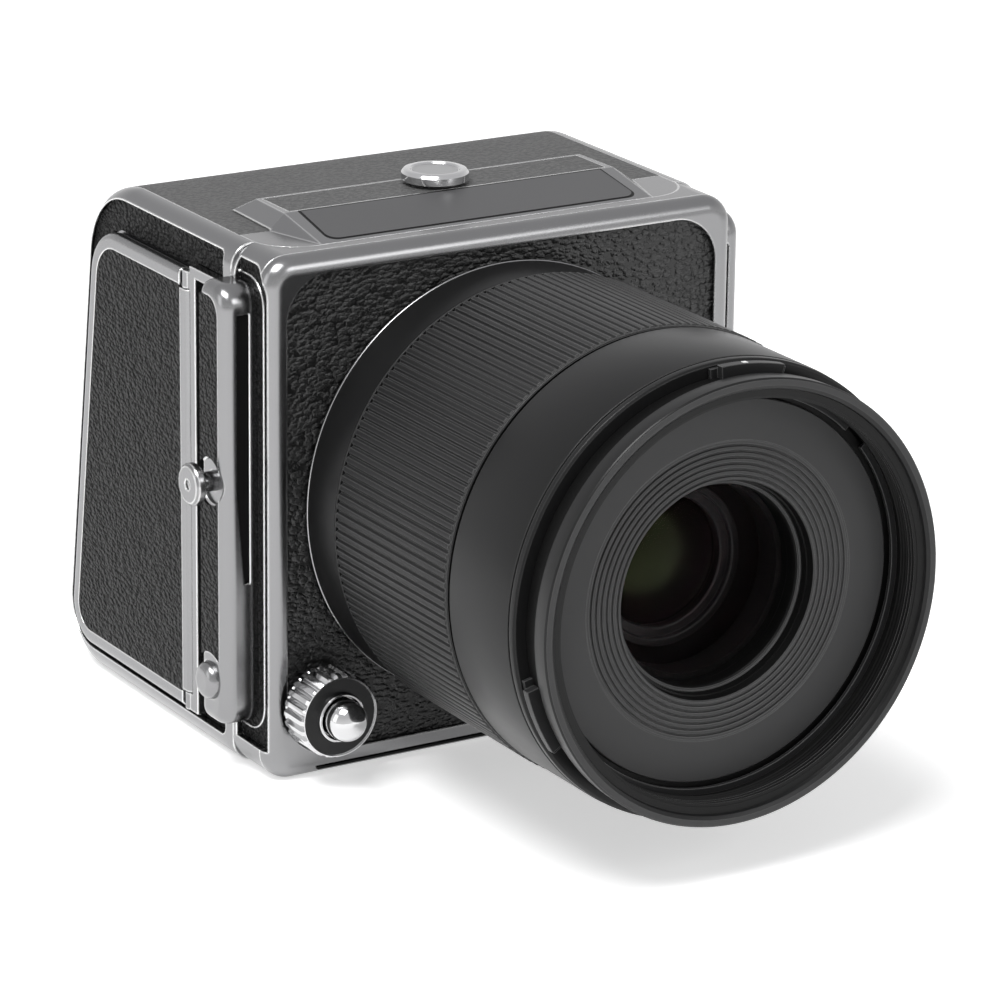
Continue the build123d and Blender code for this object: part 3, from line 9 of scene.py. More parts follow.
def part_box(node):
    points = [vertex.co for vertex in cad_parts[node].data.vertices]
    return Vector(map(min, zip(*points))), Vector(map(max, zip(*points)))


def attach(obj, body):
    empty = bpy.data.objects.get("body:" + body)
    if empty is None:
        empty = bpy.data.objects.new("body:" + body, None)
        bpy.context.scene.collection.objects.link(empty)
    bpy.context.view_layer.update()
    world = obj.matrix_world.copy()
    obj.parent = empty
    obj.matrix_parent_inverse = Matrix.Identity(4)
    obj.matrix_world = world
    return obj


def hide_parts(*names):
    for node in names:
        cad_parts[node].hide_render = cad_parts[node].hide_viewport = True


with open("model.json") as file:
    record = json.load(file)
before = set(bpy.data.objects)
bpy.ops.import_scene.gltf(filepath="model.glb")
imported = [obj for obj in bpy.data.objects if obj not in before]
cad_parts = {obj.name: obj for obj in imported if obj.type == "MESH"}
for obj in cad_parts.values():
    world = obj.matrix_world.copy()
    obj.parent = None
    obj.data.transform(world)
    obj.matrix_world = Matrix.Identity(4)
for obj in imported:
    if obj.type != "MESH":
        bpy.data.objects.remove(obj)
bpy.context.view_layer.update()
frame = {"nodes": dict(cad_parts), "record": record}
nodes = frame["nodes"]
MM = 0.001

# Sizes shared with the solids, in millimetres
LENS_Z = 47.1
RIM_Y = -80.7
PLATE_Y = -73.3
PLATE_BACK_Y = -71.7
FOCUS_BACK_Y = -16.15
FOCUS_FRONT_Y = -53.15
DIAL = (-36.0, 13.2)
DIAL_BACK_Y = -8.4
DIAL_FACE_Y = -15.0
KNOB_Y = 16.7

# Relief that the scene adds to the solids, in millimetres where it is a length
RIBS = 152
PER_RIB = 8
RIB_SHAPE = (-0.04, 0.0, 0.0, 0.0, -0.04, -0.36, -0.46, -0.36)
FLUTES = 24
PER_FLUTE = 10
FLUTE_DEPTH = 0.62
THREADS = 6
THREAD_PITCH = 0.75
CREST_R = 33.4
ROOT_R = 33.85
GROOVES = 6
GROOVE_STEP = 1.0
TAB_TURNS = (84.0, 204.0, 324.0)
LEDGE_TURNS = (132.0, 312.0)

# How far the painted highlight at a bend reaches, in metres
CHROME_HIGHLIGHT_REACH = 0.0005
PAINT_HIGHLIGHT_REACH = 0.00025


# Materials
class Shader:
    """A node material built round one Principled shader."""

    def __init__(self, name, **values):
        self.mat = bpy.data.materials.new(name)
        self.mat.use_nodes = True
        self.tree = self.mat.node_tree
        self.bsdf = self.tree.nodes["Principled BSDF"]
        for key, value in values.items():
            self.bsdf.inputs[key.replace("_", " ")].default_value = value
        self.place = self.node("ShaderNodeTexCoord").outputs["Object"]

    def node(self, kind, **values):
        """A new node, with its options and its input values set by name."""
        made = self.tree.nodes.new(kind)
        for key, value in values.items():
            if key in made.bl_rna.properties:
                setattr(made, key, value)
            else:
                made.inputs[key].default_value = value
        return made

    def link(self, source, target):
        self.tree.links.new(source, target)

    def noise(self, scale, detail=2.0, stretch=None):
        made = self.node("ShaderNodeTexNoise", Scale=scale, Detail=detail)
        self.link(self.stretched(stretch), made.inputs["Vector"])
        return made.outputs["Fac"]

    def stretched(self, stretch):
        """Object coordinates, scaled along each axis."""
        if stretch is None:
            return self.place
        made = self.node("ShaderNodeMapping", Scale=stretch)
        self.link(self.place, made.inputs["Vector"])
        return made.outputs["Vector"]

    def ramp(self, fac, *stops):
        """A colour ramp through (position, grey level or colour) stops."""
        made = self.node("ShaderNodeValToRGB")
        band = made.color_ramp
        while len(band.elements) < len(stops):
            band.elements.new(0.5)
        for element, (place, level) in zip(band.elements, stops):
            element.position = place
            colour = level if isinstance(level, tuple) else (level,) * 3
            element.color = (*colour, 1.0)
        self.link(fac, made.inputs["Fac"])
        return made.outputs["Color"]

    def bump(self, height, strength, distance, below=None):
        made = self.node("ShaderNodeBump", Strength=strength, Distance=distance)
        self.link(height, made.inputs["Height"])
        if below is not None:
            self.link(below, made.inputs["Normal"])
        return made.outputs["Normal"]

    def finish(self, normal, rough=None, colour=None):
        wanted = ((normal, "Normal"), (rough, "Roughness"), (colour, "Base Color"))
        for source, target in wanted:
            if source is not None:
                self.link(source, self.bsdf.inputs[target])
        return self.mat


def leather(name, dark, light, cell, depth, rough, spec):
    """Grained leather: rounded uneven pebbles, wider than high, with folds and a fine tooth."""
    stretch = (0.58, 0.58, 1.0)
    s = Shader(name, Specular_IOR_Level=spec)
    warp = s.node("ShaderNodeTexNoise", Scale=cell * 0.9, Detail=2.0)
    s.link(s.place, warp.inputs["Vector"])
    # A vector Mix node has its two vectors at sockets 4 and 5, and its result at 1
    mixed = s.node("ShaderNodeMix", data_type="VECTOR")
    mixed.inputs["Factor"].default_value = 0.9 / cell
    s.link(s.stretched(stretch), mixed.inputs[4])
    s.link(warp.outputs["Color"], mixed.inputs[5])
    cells = s.node("ShaderNodeTexVoronoi", feature="F1", Scale=cell, Randomness=0.9)
    s.link(mixed.outputs[1], cells.inputs["Vector"])
    pebbles = s.ramp(cells.outputs["Distance"], (0.0, 1.0), (0.30, 0.88), (0.50, 0.55), (0.75, 0.0))
    fold = s.noise(cell * 0.22, 3.0, stretch)
    fine = s.noise(cell * 3.0, 2.0)
    normal = s.bump(fold, 0.7, depth * 1.6)
    normal = s.bump(pebbles, 1.0, depth, normal)
    normal = s.bump(fine, 0.30, depth * 0.12, normal)
    # Painted shade and highlight: the colour is darkest in the crevices between the pebbles and
    # lightest on their tops
    painted_pebble_shade = s.ramp(pebbles, (0.2, dark), (1.0, light))
    return s.finish(normal, s.ramp(fine, (0.3, rough - 0.07), (0.7, rough + 0.07)), painted_pebble_shade)


def painted_edge_highlight(s, colour, edge, reach):
    """The colour, turning to the edge colour where the surface bends as a painted highlight, and
    the rounded normal.
    """
    bevel = s.node("ShaderNodeBevel", samples=6, Radius=reach)
    flat = s.node("ShaderNodeNewGeometry")
    near = s.node("ShaderNodeVectorMath", operation="DOT_PRODUCT")
    s.link(bevel.outputs["Normal"], near.inputs[0])
    s.link(flat.outputs["Normal"], near.inputs[1])
    between = tuple((a + b) / 2 for a, b in zip(edge, colour))
    # Painted highlight: the colour lightens to the edge colour where the bevel normal leaves the
    # face normal
    shade = s.ramp(near.outputs["Value"], (0.80, edge), (0.97, between), (1.0, colour))
    return shade, bevel.outputs["Normal"]


def metal(name, colour, rough, grain=0.04, stretch=None, edge=None):
    """Satin metal with a faint brushed grain, uneven polish and, with edge, a painted highlight
    along its edges.
    """
    s = Shader(name, Metallic=1.0, Base_Color=(*colour, 1.0))
    cloud = s.noise(38.0, 3.0)
    brushed = s.noise(900.0, 2.0, stretch)
    worn = s.ramp(cloud, (0.3, rough - 0.03), (0.72, rough + 0.03))
    if edge is None:
        return s.finish(s.bump(brushed, grain, 0.00004), worn)
    shade, normal = painted_edge_highlight(s, colour, edge, CHROME_HIGHLIGHT_REACH)
    return s.finish(s.bump(brushed, grain, 0.00004, normal), worn, shade)


def paint(name, colour, rough, grain=0.08, scale=2600.0, coat=0.0, spec=0.5, edge=None):
    """Painted or moulded surface with a fine tooth, uneven gloss and, with edge, a painted
    highlight along its edges.
    """
    s = Shader(name, Base_Color=(*colour, 1.0), Specular_IOR_Level=spec, Coat_Weight=coat)
    tooth = s.noise(scale, 2.0)
    cloud = s.noise(30.0, 3.0)
    gloss = s.ramp(cloud, (0.3, rough - 0.05), (0.7, rough + 0.05))
    if edge is None:
        low = tuple(c * 0.85 for c in colour)
        high = tuple(min(1.0, c * 1.2) for c in colour)
        shade = s.ramp(cloud, (0.25, low), (0.8, high))
        return s.finish(s.bump(tooth, grain, 0.00006), gloss, shade)
    shade, normal = painted_edge_highlight(s, colour, (edge, edge, edge), PAINT_HIGHLIGHT_REACH)
    return s.finish(s.bump(tooth, grain, 0.00006, normal), gloss, shade)


def coated(name, colour, tint, rough, ior, cover):
    """Coated glass with little glare, which its coating tints; cover is how much it hides."""
    s = Shader(name, Base_Color=(*colour, 1.0), Roughness=rough, IOR=ior, Alpha=cover)
    s.bsdf.inputs["Specular Tint"].default_value = (*tint, 1.0)
    return s.finish(s.bump(s.noise(20.0, 1.0), 0.01, 0.00002))


# The edge colours given below are painted highlights where a surface bends
chrome = metal("satin_chrome", (0.25, 0.25, 0.254), 0.22, edge=(0.88, 0.88, 0.88))
polished = metal("polished_chrome", (0.58, 0.58, 0.585), 0.13, 0.02)
steel = metal("brushed_steel", (0.38, 0.38, 0.385), 0.28, 0.10, (1.0, 30.0, 1.0))
inner_metal = metal("inner_casting", (0.12, 0.12, 0.125), 0.45)
# One black leather in lit and shaded copies: the top leather is painted far lighter and the side
# leather darker than the front, as painted light and shade; their grains also differ
front_hide = leather("front_leather", 0.003, 0.020, 1250.0, 0.00026, 0.34, 0.5)
shaded_side_hide = leather("side_leather", 0.001, 0.013, 1500.0, 0.00055, 0.40, 0.11)
lit_top_hide = leather("top_leather", 0.062, 0.095, 2300.0, 0.00012, 0.55, 0.3)
lens_inner = paint("lens_inner_black", (0.003, 0.003, 0.003), 0.6, spec=0.12)
ring_black = paint("inner_ring_black", (0.004, 0.004, 0.0042), 0.4, spec=0.2, edge=0.03)
lens_black = paint("lens_black", (0.010, 0.010, 0.0102), 0.33, 0.10, 3200.0, spec=0.16, edge=0.07)
foot_black = paint("lens_foot_black", (0.007, 0.007, 0.0072), 0.34, 0.08, 3200.0, spec=0.25)
rib_black = paint(
    "focus_rib_black", (0.014, 0.014, 0.0143), 0.36, 0.10, 3000.0, spec=0.16, edge=0.11
)
rim_black = paint("rim_black", (0.020, 0.020, 0.0205), 0.36, 0.06, 3200.0, spec=0.18, edge=0.11)
face_black = paint(
    "front_plate_black", (0.046, 0.046, 0.0465), 0.50, 0.16, 4200.0, spec=0.22, edge=0.12
)
# Near black for painted shade in grooves, gaps, the thread and the lens mouth, and for the dark
# joint round the nameplate
joint_and_shade_black = paint("joint_and_shade_black", (0.003, 0.003, 0.003), 0.5, spec=0.2)
dial_black = paint("dial_face_black", (0.006, 0.006, 0.0065), 0.34, spec=0.3)
name_grey = paint("nameplate_grey", (0.062, 0.062, 0.064), 0.42, 0.16, 3800.0, spec=0.4)
body_black = paint("body_black", (0.016, 0.016, 0.017), 0.38, spec=0.4)
plastic = paint("black_plastic", (0.016, 0.016, 0.017), 0.48, spec=0.4)
key_black = paint("button_black", (0.022, 0.022, 0.024), 0.26, 0.03)
board_green = paint("board_green", (0.012, 0.070, 0.032), 0.5)
sensor_dark = paint("sensor_dark", (0.012, 0.016, 0.026), 0.12, 0.01, coat=1.0)
screen_dark = paint("screen_dark", (0.004, 0.004, 0.005), 0.08, 0.005, coat=1.0)
white_mark = paint("white_mark", (0.80, 0.80, 0.80), 0.5)
clear_glass = coated("front_glass", (0.0, 0.0, 0.0), (1.0, 0.45, 0.50), 0.06, 1.38, 0.04)
deep_glass = coated("inner_glass", (0.002, 0.002, 0.002), (0.60, 0.78, 0.32), 0.28, 1.28, 1.0)

by_slot = {
    "chrome_trim": chrome,
    "back_housing": chrome,
    "body_housing": chrome,
    "inner_casting": inner_metal,
    "black_leather": shaded_side_hide,
    "black_plates": name_grey,
    "lens_shell": lens_black,
    "steel_mount": steel,
    "lens_inner": lens_inner,
    "optical_glass": deep_glass,
    "screen_pane": screen_dark,
    "screen_shell": body_black,
    "black_plastic": plastic,
    "button_plastic": key_black,
    "board": board_green,
    "sensor_glass": sensor_dark,
}
by_node = {
    "front_leather": front_hide,
    "top_leather": lit_top_hide,
    "hood_leather": lit_top_hide,
    "dial_face": dial_black,
    "front_element": clear_glass,
    "filter_ring": rim_black,
    "front_plate": face_black,
    "focus_ring": rib_black,
    "lens_barrel": lens_inner,
}
for part in frame["record"]["subparts"]:
    chosen = by_node.get(part["node"], by_slot[part["material_slot"]])
    held = nodes[part["node"]].data.materials
    held.clear()
    held.append(chosen)


# Mesh helpers
def piece(name, bm, materials, body, replaced=(), sharp=28.0):
    """A finished mesh object with smooth faces and sharp corners that rides on a body."""
    bmesh.ops.recalc_face_normals(bm, faces=bm.faces)
    for face in bm.faces:
        face.smooth = True
    limit = math.radians(sharp)
    for edge in bm.edges:
        edge.smooth = not (len(edge.link_faces) == 2 and edge.calc_face_angle(0.0) > limit)
    mesh = bpy.data.meshes.new(name)
    bm.to_mesh(mesh)
    bm.free()
    made = bpy.data.objects.new(name, mesh)
    bpy.context.scene.collection.objects.link(made)
    for one in materials:
        mesh.materials.append(one)
    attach(made, body)
    if replaced:
        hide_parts(*replaced)
    return made


def recolour(made, choose, centre=(0.0, LENS_Z)):
    """Gives each face the material that choose names from its place y and its radius, in mm."""
    for polygon in made.data.polygons:
        x, y, z = polygon.center / MM
        polygon.material_index = choose(y, math.hypot(x - centre[0], z - centre[1]))


def eased(points, radius, steps=3):
    """A closed profile with each corner rounded by a small arc."""
    out = []
    count = len(points)
    for i, here in enumerate(points):
        here = Vector(here)
        back = Vector(points[i - 1]) - here
        ahead = Vector(points[(i + 1) % count]) - here
        turn = back.angle(ahead)
        if turn > math.radians(155):
            out.append(tuple(here))
            continue
        cut = min(radius / math.tan(turn / 2), 0.45 * back.length, 0.45 * ahead.length)
        start = here + back.normalized() * cut
        end = here + ahead.normalized() * cut
        for k in range(steps + 1):
            t = k / steps
            out.append(tuple(start * (1 - t) ** 2 + here * 2 * t * (1 - t) + end * t**2))
    return out


def lathe(profile, centre=(0.0, LENS_Z), count=200, closed=True, wave=None, bm=None):
    """Turns (y, r) points about an axis along Y; wave(r, i) changes r at step i."""
    bm = bm or bmesh.new()
    rings = []
    for y, r in profile:
        if r < 1e-6:
            rings.append([bm.verts.new((centre[0] * MM, y * MM, centre[1] * MM))])
            continue
        ring = []
        for i in range(count):
            angle = 2 * math.pi * i / count
            reach = r + (wave(r, i) if wave else 0.0)
            x = centre[0] + reach * math.cos(angle)
            z = centre[1] + reach * math.sin(angle)
            ring.append(bm.verts.new((x * MM, y * MM, z * MM)))
        rings.append(ring)
    pairs = list(zip(rings, rings[1:]))
    if closed:
        pairs.append((rings[-1], rings[0]))
    for a, b in pairs:
        for i in range(count):
            j = (i + 1) % count
            if len(a) == 1 and len(b) == 1:
                continue
            if len(a) == 1:
                bm.faces.new((a[0], b[i], b[j]))
            elif len(b) == 1:
                bm.faces.new((a[i], b[0], a[j]))
            else:
                bm.faces.new((a[i], b[i], b[j], a[j]))
    return bm


def lathe_z(profile, centre, count=96):
    """Turns (z, r) points about an upright axis."""
    bm = lathe(profile, (0.0, 0.0), count, closed=False)
    for v in bm.verts:
        x, y, z = v.co
        v.co = (centre[0] * MM + x, centre[1] * MM - z, y)
    return bm


def arc_block(bm, y0, y1, r0, r1, middle, angle, steps=10):
    """A curved block about the lens axis between two places along Y and two radii."""
    rows = []
    for i in range(steps + 1):
        a = math.radians(middle - angle / 2 + angle * i / steps)
        rows.append(
            [
                bm.verts.new((r * math.cos(a) * MM, y * MM, (LENS_Z + r * math.sin(a)) * MM))
                for y, r in ((y0, r0), (y0, r1), (y1, r1), (y1, r0))
            ]
        )
    for a, b in zip(rows, rows[1:]):
        for k in range(4):
            bm.faces.new((a[k], a[(k + 1) % 4], b[(k + 1) % 4], b[k]))
    bm.faces.new(rows[0])
    bm.faces.new(rows[-1])


def slab(bm, points, y0, y1):
    """A prism on an outline of (x, z) points, between two places along Y."""
    sides = [[bm.verts.new((x * MM, y * MM, z * MM)) for x, z in points] for y in (y0, y1)]
    for side in sides:
        bm.faces.new(side)
    count = len(points)
    for i in range(count):
        j = (i + 1) % count
        bm.faces.new((sides[0][i], sides[0][j], sides[1][j], sides[1][i]))


def dome(y_edge, radius, curve, steps=14):
    """Half profile of a domed glass face from the axis to its edge."""
    sag = curve - math.sqrt(curve**2 - radius**2)
    points = []
    for i in range(steps + 1):
        r = radius * i / steps
        drop = curve - math.sqrt(curve**2 - r**2)
        points.append((y_edge - (sag - drop), r))
    return points


# Lens: the dark ring at its foot and the bright line behind it
profile = [(-6.9, 34.3), (-6.9, 38.0), (-7.9, 38.0), (-15.6, 37.3), (-16.02, 36.7), (-16.02, 34.3)]
bm = lathe(eased(profile, 0.2))
piece("lens_foot_ring", bm, [foot_black], "lens", ["lens_base_ring"])
bm = lathe([(-6.95, 37.8), (-6.95, 38.1), (-7.2, 38.1), (-7.3, 38.0), (-7.3, 37.8)])
piece("foot_ring_edge", bm, [steel], "lens")


# Focus ring with straight ribs all round and a gap at each end painted dark as shade
def rib_wave(r, i):
    """Lowers the gaps between the ribs."""
    return 0.0 if r < 38.5 else RIB_SHAPE[i % PER_RIB]


profile = [
    (FOCUS_BACK_Y, 35.1),
    (FOCUS_BACK_Y, 37.6),
    (FOCUS_BACK_Y - 0.5, 38.2),
    (FOCUS_BACK_Y - 1.1, 38.4),
    (FOCUS_BACK_Y - 1.15, 37.6),
    (FOCUS_BACK_Y - 1.6, 37.6),
    (FOCUS_BACK_Y - 1.65, 38.6),
    (FOCUS_FRONT_Y + 0.6, 38.6),
    (FOCUS_FRONT_Y + 0.55, 38.35),
    (FOCUS_FRONT_Y + 0.2, 38.35),
    (FOCUS_FRONT_Y, 38.1),
    (FOCUS_FRONT_Y, 35.1),
]
bm = lathe(profile, count=RIBS * PER_RIB, wave=rib_wave)
finishes_and_shades = [rib_black, joint_and_shade_black]
ribs = piece("focus_ring_ribs", bm, finishes_and_shades, "focus_ring", ["focus_ring"], 35.0)
# Painted shade: faces below 37.95 mm, in the end gaps and at the ends, take the near black
recolour(ribs, lambda y, r: 1 if r < 37.95 else 0)

# Smooth front barrel with a groove near its front
profile = [
    (-53.95, 35.1),
    (-53.95, 38.3),
    (-71.6, 38.3),
    (-71.65, 37.9),
    (-71.95, 37.9),
    (-72.0, 38.25),
    (-72.9, 38.2),
    (-73.25, 37.8),
    (-73.25, 35.1),
]
bm = lathe(eased(profile, 0.12))
piece("front_barrel_shell", bm, [lens_black], "lens", ["front_barrel"])

# Rim with the hood groove and a threaded wall
profile = [
    (PLATE_Y, 35.0),
    (PLATE_Y, 35.9),
    (-76.0, 35.9),
    (-76.6, 36.2),
    (-77.4, 36.9),
    (-80.4, 37.0),
    (RIM_Y, 36.75),
    (RIM_Y, 35.75),
    (-80.35, 35.15),
    (-79.75, 35.0),
    (-79.7, 33.8),
]
profile = eased(profile, 0.1, 2)
for k in range(THREADS):
    y = -79.4 + k * THREAD_PITCH
    profile += [(y, CREST_R), (y + 0.12, CREST_R), (y + 0.3, ROOT_R), (y + 0.55, ROOT_R)]
profile += [(-74.7, 33.8), (-73.4, 33.8), (-73.4, 35.0)]
finishes_and_shades = [foot_black, joint_and_shade_black, face_black]
rim = piece("rim_ring", lathe(profile), finishes_and_shades, "lens", ["filter_ring"], 24.0)


def rim_shading(y, r):
    """Painted shade and highlight: darkest in the thread and the hood groove, lightest on the lip
    and the thread's crests.
    """
    if 33.5 < r < 35.05 or (r < 36.98 and y > -77.6):
        return 1
    return 2 if y < -80.69 or r < 33.5 else 0


recolour(rim, rim_shading)

# Hood tabs on the rim, its ledge with two notches, and the index dot
bm = bmesh.new()
for turn in TAB_TURNS:
    arc_block(bm, -73.9, -75.3, 35.8, 38.0, turn, 18.0)
    arc_block(bm, PLATE_Y, -73.9, 35.8, 37.5, turn, 22.0)
piece("hood_tabs", bm, [rim_black], "lens")
bm = bmesh.new()
for turn in LEDGE_TURNS:
    arc_block(bm, -74.15, -73.5, 32.7, 33.8, turn, 172.0, 80)
piece("rim_ledge", bm, [rim_black], "lens")
bm = bmesh.new()
arc_block(bm, -74.2, -75.0, 37.95, 38.06, 86.0, 1.4, 4)
piece("index_dot", bm, [white_mark], "lens")

# Front plate: a flat ring with fine grooves and the stepped mouth down to the glass, painted dark
# as shade
profile = [
    (PLATE_BACK_Y, 33.6),
    (-72.5, 33.6),
    (-72.5, 32.0),
    (-73.1, 31.9),
    (PLATE_Y, 31.7),
    (PLATE_Y, 25.0),
    (-73.1, 24.8),
]
for k in range(GROOVES):
    r = 24.3 - k * GROOVE_STEP
    profile += [(-73.1, r), (-72.7, r - 0.1), (-72.7, r - 0.4), (-73.1, r - 0.5)]
profile += [
    (-73.1, 18.5),
    (-72.85, 18.25),
    (-71.6, 18.0),
    (-71.6, 17.75),
    (-70.5, 17.7),
    (-70.5, 17.5),
    (-70.25, 17.4),
    (-70.25, 17.0),
    (-69.9, 16.8),
    (-67.6, 16.8),
    (-67.4, 16.9),
    (-65.9, 16.9),
    (-65.7, 17.6),
]
finishes_and_shades = [face_black, joint_and_shade_black]
plate = piece(
    "front_plate_face", lathe(profile), finishes_and_shades, "lens", ["front_plate"], 24.0
)


def plate_shading(y, r):
    """Painted shade: dark in the mouth, apart from one lighter step, and on the outer slope."""
    in_mouth = r < 18.2 and not 17.0 < r < 17.45
    return 1 if in_mouth or r > 31.95 else 0


recolour(plate, plate_shading)

# Glasses and the dark rings round the inner one
profile = dome(-69.3, 16.7, 75.0)
profile += [(-67.7, 16.7), (-67.7, 15.85), (-60.75, 15.85), (-60.75, 0.0)]
bm = lathe(profile, closed=False, count=128)
piece("front_glass", bm, [clear_glass], "lens", ["front_element"], 40.0)
profile = dome(-54.9, 11.0, 21.0) + [(-54.9, 13.9), (-51.3, 13.9), (-51.3, 0.0)]
bm = lathe(profile, closed=False, count=96)
piece("middle_glass", bm, [deep_glass], "lens", ["middle_element"], 40.0)
bm = bmesh.new()
for inner, outer, front in ((11.0, 12.6, -56.6), (12.6, 13.9, -57.6)):
    lip = front - 0.2
    profile = [(-54.95, inner), (front, inner), (lip, inner + 0.25), (lip, outer), (-54.95, outer)]
    lathe(profile, count=96, bm=bm)
piece("middle_glass_rings", bm, [ring_black], "lens")


# Dial: flutes, raised rim, dark face and chrome collar
def flute_wave(r, i):
    """Cuts round flutes into the dial's side."""
    if r < 7.0:
        return 0.0
    t = (i % PER_FLUTE) / PER_FLUTE
    return -FLUTE_DEPTH * max(0.0, math.cos((t - 0.5) * 2 * math.pi)) ** 0.8


profile = [
    (DIAL_BACK_Y, 4.1),
    (DIAL_BACK_Y, 6.9),
    (DIAL_BACK_Y - 0.3, 7.3),
    (DIAL_FACE_Y + 0.7, 7.3),
    (DIAL_FACE_Y + 0.35, 7.12),
    (DIAL_FACE_Y + 0.05, 6.95),
    (DIAL_FACE_Y, 6.8),
    (DIAL_FACE_Y + 0.3, 6.6),
    (DIAL_FACE_Y + 0.3, 4.35),
    (DIAL_FACE_Y - 0.5, 4.25),
    (DIAL_FACE_Y - 0.65, 4.1),
    (DIAL_FACE_Y - 0.65, 3.85),
    (DIAL_FACE_Y - 0.2, 3.65),
    (DIAL_FACE_Y + 1.4, 3.65),
    (DIAL_FACE_Y + 1.4, 1.8),
]
bm = lathe(profile, DIAL, FLUTES * PER_FLUTE, wave=flute_wave)
finishes_and_shades = [polished, dial_black]
redone = ["control_dial", "dial_face"]
dial = piece("dial_fluted", bm, finishes_and_shades, "control_dial", redone, 30.0)
recolour(dial, lambda y, r: 1 if 4.4 < r < 6.55 and y < DIAL_FACE_Y + 0.6 else 0, DIAL)

# Domed shutter button in the dial
DOME_STEPS = 12
profile = [(DIAL_FACE_Y - 5.2, 0.0)]
for i in range(1, DOME_STEPS + 1):
    a = math.pi / 2 * i / DOME_STEPS
    profile.append((DIAL_FACE_Y - 5.2 + 3.1 * (1 - math.cos(a)), 3.5 * math.sin(a) ** 0.92))
profile += [(DIAL_FACE_Y + 0.2, 3.5), (DIAL_FACE_Y + 0.2, 1.6), (-0.2, 1.6), (-0.2, 0.0)]
bm = lathe(profile, DIAL, 96, closed=False)
redone = ["shutter_button"]
piece("shutter_button_dome", bm, [polished], "shutter_button", redone, 30.0)

# Round knob on the hood, with its plain disc
profile = [
    (91.3, 0.0),
    (91.3, 2.4),
    (93.9, 2.4),
    (93.9, 5.5),
    (94.1, 5.8),
    (95.3, 5.8),
    (95.75, 5.45),
    (95.9, 5.1),
    (95.9, 4.35),
    (95.62, 4.1),
    (95.62, 0.0),
]
bm = lathe_z(profile, (0.0, KNOB_Y))
redone = ["back_release_knob"]
piece("release_knob", bm, [polished], "back_release_knob", redone, 24.0)
bm = lathe_z([(95.6, 0.0), (95.6, 3.95), (95.68, 3.9), (95.68, 0.0)], (0.0, KNOB_Y))
piece("release_knob_disc", bm, [steel], "back_release_knob")

# Dark linings in the slots of the side blocks, and a dark strip at the foot of the bezel as painted
# shadow
bm = bmesh.new()
for side in (-1, 1):
    slot_corners = ((45.92, 34.45), (48.18, 34.45), (48.18, 80.95), (45.92, 80.95))
    slab(bm, eased([(side * x, z) for x, z in slot_corners], 0.6), -1.1, -0.22)
piece("slot_linings", bm, [lens_inner], "camera_body")
bm = bmesh.new()
slab(bm, [(-36.0, 1.2), (36.0, 1.2), (36.0, 1.55), (-36.0, 1.55)], -7.18, -6.6)
piece("bezel_foot_painted_shadow", bm, [joint_and_shade_black], "camera_body")

# Plain nameplate with a dark edge line, laid on the slope of the hood
low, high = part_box("nameplate")
rise = math.atan2(high[2] - low[2], high[1] - low[1])
up_slope = Vector((0.0, math.cos(rise), math.sin(rise)))
out_slope = Vector((0.0, -math.sin(rise), math.cos(rise)))
middle = Vector([(a + b) / 2 for a, b in zip(low, high)])
half = (high[0] - low[0]) / 2
run = math.hypot(high[1] - low[1], high[2] - low[2]) / 2
for name, grow, lift, finish, replaced in (
    ("nameplate_edge", 0.35, 0.03, joint_and_shade_black, ()),
    ("nameplate_face", -0.05, 0.12, name_grey, ("nameplate",)),
):
    bm = bmesh.new()
    bm.from_mesh(nodes["nameplate"].data)
    for v in bm.verts:
        offset = v.co - middle
        across = Vector((offset.x * (1 + grow * MM / half), 0.0, 0.0))
        along = up_slope * offset.dot(up_slope) * (1 + grow * MM / run)
        v.co = middle + across + along + out_slope * (offset.dot(out_slope) + lift * MM)
    piece(name, bm, [finish], "camera_body", replaced)


# Floor: pale paper that keeps the shadow and shows near white to the camera and in reflections
def wired(tree, kind, operation=None):
    """A new node in a node tree, with its operation set where it has one."""
    made = tree.nodes.new(kind)
    if operation:
        made.operation = operation
    return made


bm = bmesh.new()
bmesh.ops.create_grid(bm, x_segments=2, y_segments=2, size=6.0)
floor_mesh = bpy.data.meshes.new("floor")
bm.to_mesh(floor_mesh)
bm.free()
floor = bpy.data.objects.new("floor", floor_mesh)
bpy.context.scene.collection.objects.link(floor)
paper = bpy.data.materials.new("paper_floor")
paper.use_nodes = True
tree = paper.node_tree
link = tree.links.new
bsdf = tree.nodes["Principled BSDF"]
bsdf.inputs["Base Color"].default_value = (0.93, 0.93, 0.93, 1.0)
bsdf.inputs["Roughness"].default_value = 0.9
bsdf.inputs["Specular IOR Level"].default_value = 0.1
glow = wired(tree, "ShaderNodeEmission")
rays = wired(tree, "ShaderNodeLightPath")
seen = wired(tree, "ShaderNodeMath", "MAXIMUM")
seen_more = wired(tree, "ShaderNodeMath", "MAXIMUM")
level = wired(tree, "ShaderNodeMath", "MULTIPLY")
added = wired(tree, "ShaderNodeAddShader")
glow.inputs["Color"].default_value = (1.0, 1.0, 1.0, 1.0)
level.inputs[1].default_value = 0.50
link(rays.outputs["Is Camera Ray"], seen.inputs[0])
link(rays.outputs["Is Glossy Ray"], seen.inputs[1])
link(seen.outputs[0], seen_more.inputs[0])
link(rays.outputs["Is Transmission Ray"], seen_more.inputs[1])
link(seen_more.outputs[0], level.inputs[0])
link(level.outputs[0], glow.inputs["Strength"])
link(bsdf.outputs[0], added.inputs[0])
link(glow.outputs[0], added.inputs[1])
link(added.outputs[0], tree.nodes["Material Output"].inputs["Surface"])
floor_mesh.materials.append(paper)

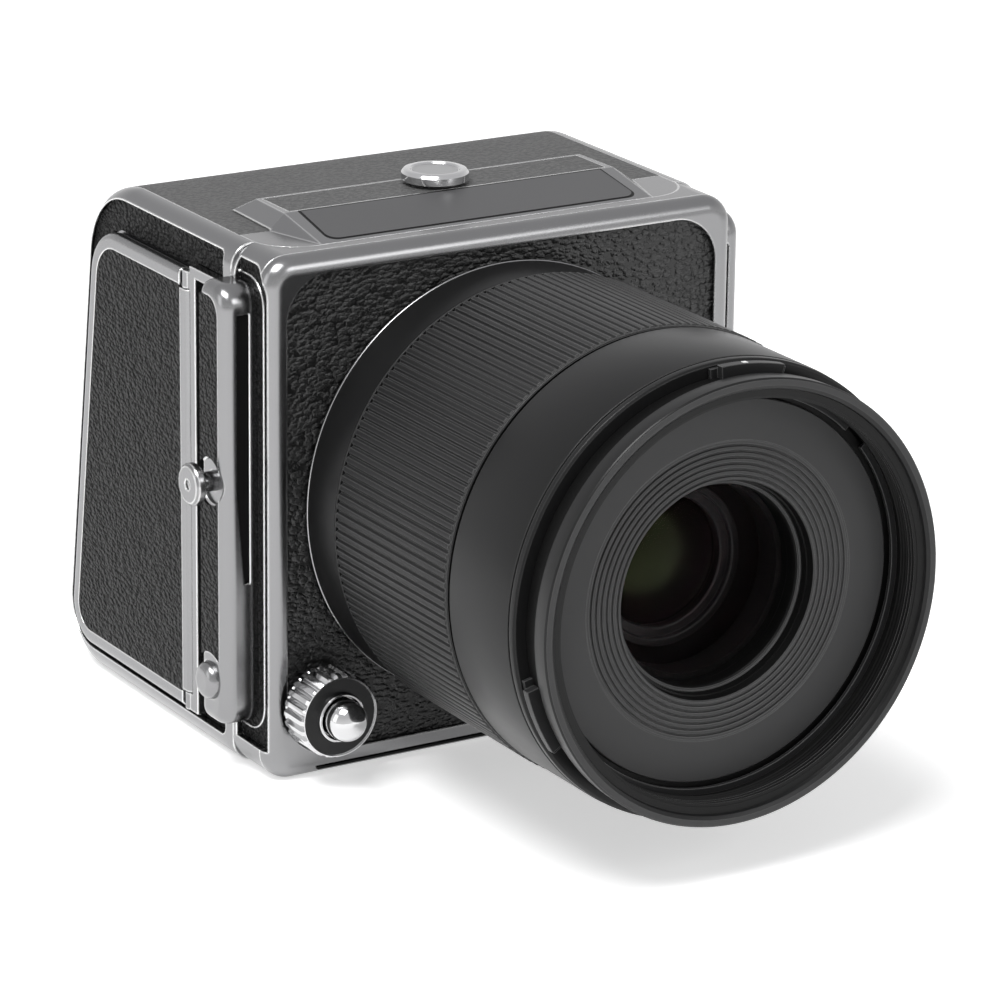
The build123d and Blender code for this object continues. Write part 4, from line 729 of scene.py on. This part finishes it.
# Backdrop: white at the horizon, greyer overhead, and dimmer for the light that it gives
world = bpy.data.worlds.new("studio")
bpy.context.scene.world = world
world.use_nodes = True
tree = world.node_tree
link = tree.links.new
back = tree.nodes["Background"]
where = wired(tree, "ShaderNodeTexCoord")
split = wired(tree, "ShaderNodeSeparateXYZ")
sky = wired(tree, "ShaderNodeValToRGB")
paths = wired(tree, "ShaderNodeLightPath")
dim = wired(tree, "ShaderNodeMapRange")
low_sky, high_sky = sky.color_ramp.elements
low_sky.position, low_sky.color = 0.10, (1.0, 1.0, 1.0, 1.0)
high_sky.position, high_sky.color = 0.55, (0.72, 0.72, 0.73, 1.0)
dim.inputs["To Min"].default_value = 1.0
dim.inputs["To Max"].default_value = 0.36
link(where.outputs["Generated"], split.inputs[0])
link(split.outputs["Z"], sky.inputs["Fac"])
link(sky.outputs["Color"], back.inputs["Color"])
link(paths.outputs["Is Diffuse Ray"], dim.inputs["Value"])
link(dim.outputs["Result"], back.inputs["Strength"])


# Lamps
def softbox(name, place, target, width, height, power):
    """A rectangular area light that points at a target."""
    lamp = bpy.data.lights.new(name, "AREA")
    lamp.shape = "RECTANGLE"
    lamp.size = width
    lamp.size_y = height
    lamp.energy = power
    made = bpy.data.objects.new(name, lamp)
    bpy.context.scene.collection.objects.link(made)
    made.location = place
    made.rotation_euler = (Vector(target) - Vector(place)).to_track_quat("-Z", "Y").to_euler()


softbox("key_light", (-0.45, -0.25, 1.05), (0.0, -0.02, 0.04), 0.7, 0.5, 13.0)
softbox("side_light", (-1.05, 0.10, 0.40), (0.0, 0.0, 0.05), 0.5, 0.7, 1.3)
softbox("front_light", (0.50, -1.15, 0.75), (0.0, -0.05, 0.05), 0.5, 0.5, 3.0)

# Camera: place and axes found from straight edges and circles
CAMERA_PLACE = (-0.4151, -0.6890, 0.3063)
CAMERA_RIGHT = (0.8567, -0.5156, 0.0120)
CAMERA_AHEAD = (0.4929, 0.8118, -0.3131)
camera_data = bpy.data.cameras.new("camera")
camera = bpy.data.objects.new("camera", camera_data)
bpy.context.scene.collection.objects.link(camera)
bpy.context.scene.camera = camera
camera_data.sensor_width = 36.0
camera_data.lens = 178.5
camera_data.shift_x = 0.0019
camera_data.shift_y = 0.0009
camera_data.clip_start = 0.05
camera_data.clip_end = 50.0
ahead = Vector(CAMERA_AHEAD).normalized()
right = Vector(CAMERA_RIGHT)
right = (right - ahead * right.dot(ahead)).normalized()
up = right.cross(ahead)
turned = Matrix((right, up, -ahead)).transposed().to_4x4()
camera.matrix_world = Matrix.Translation(CAMERA_PLACE) @ turned

bpy.context.scene.view_settings.view_transform = "Standard"
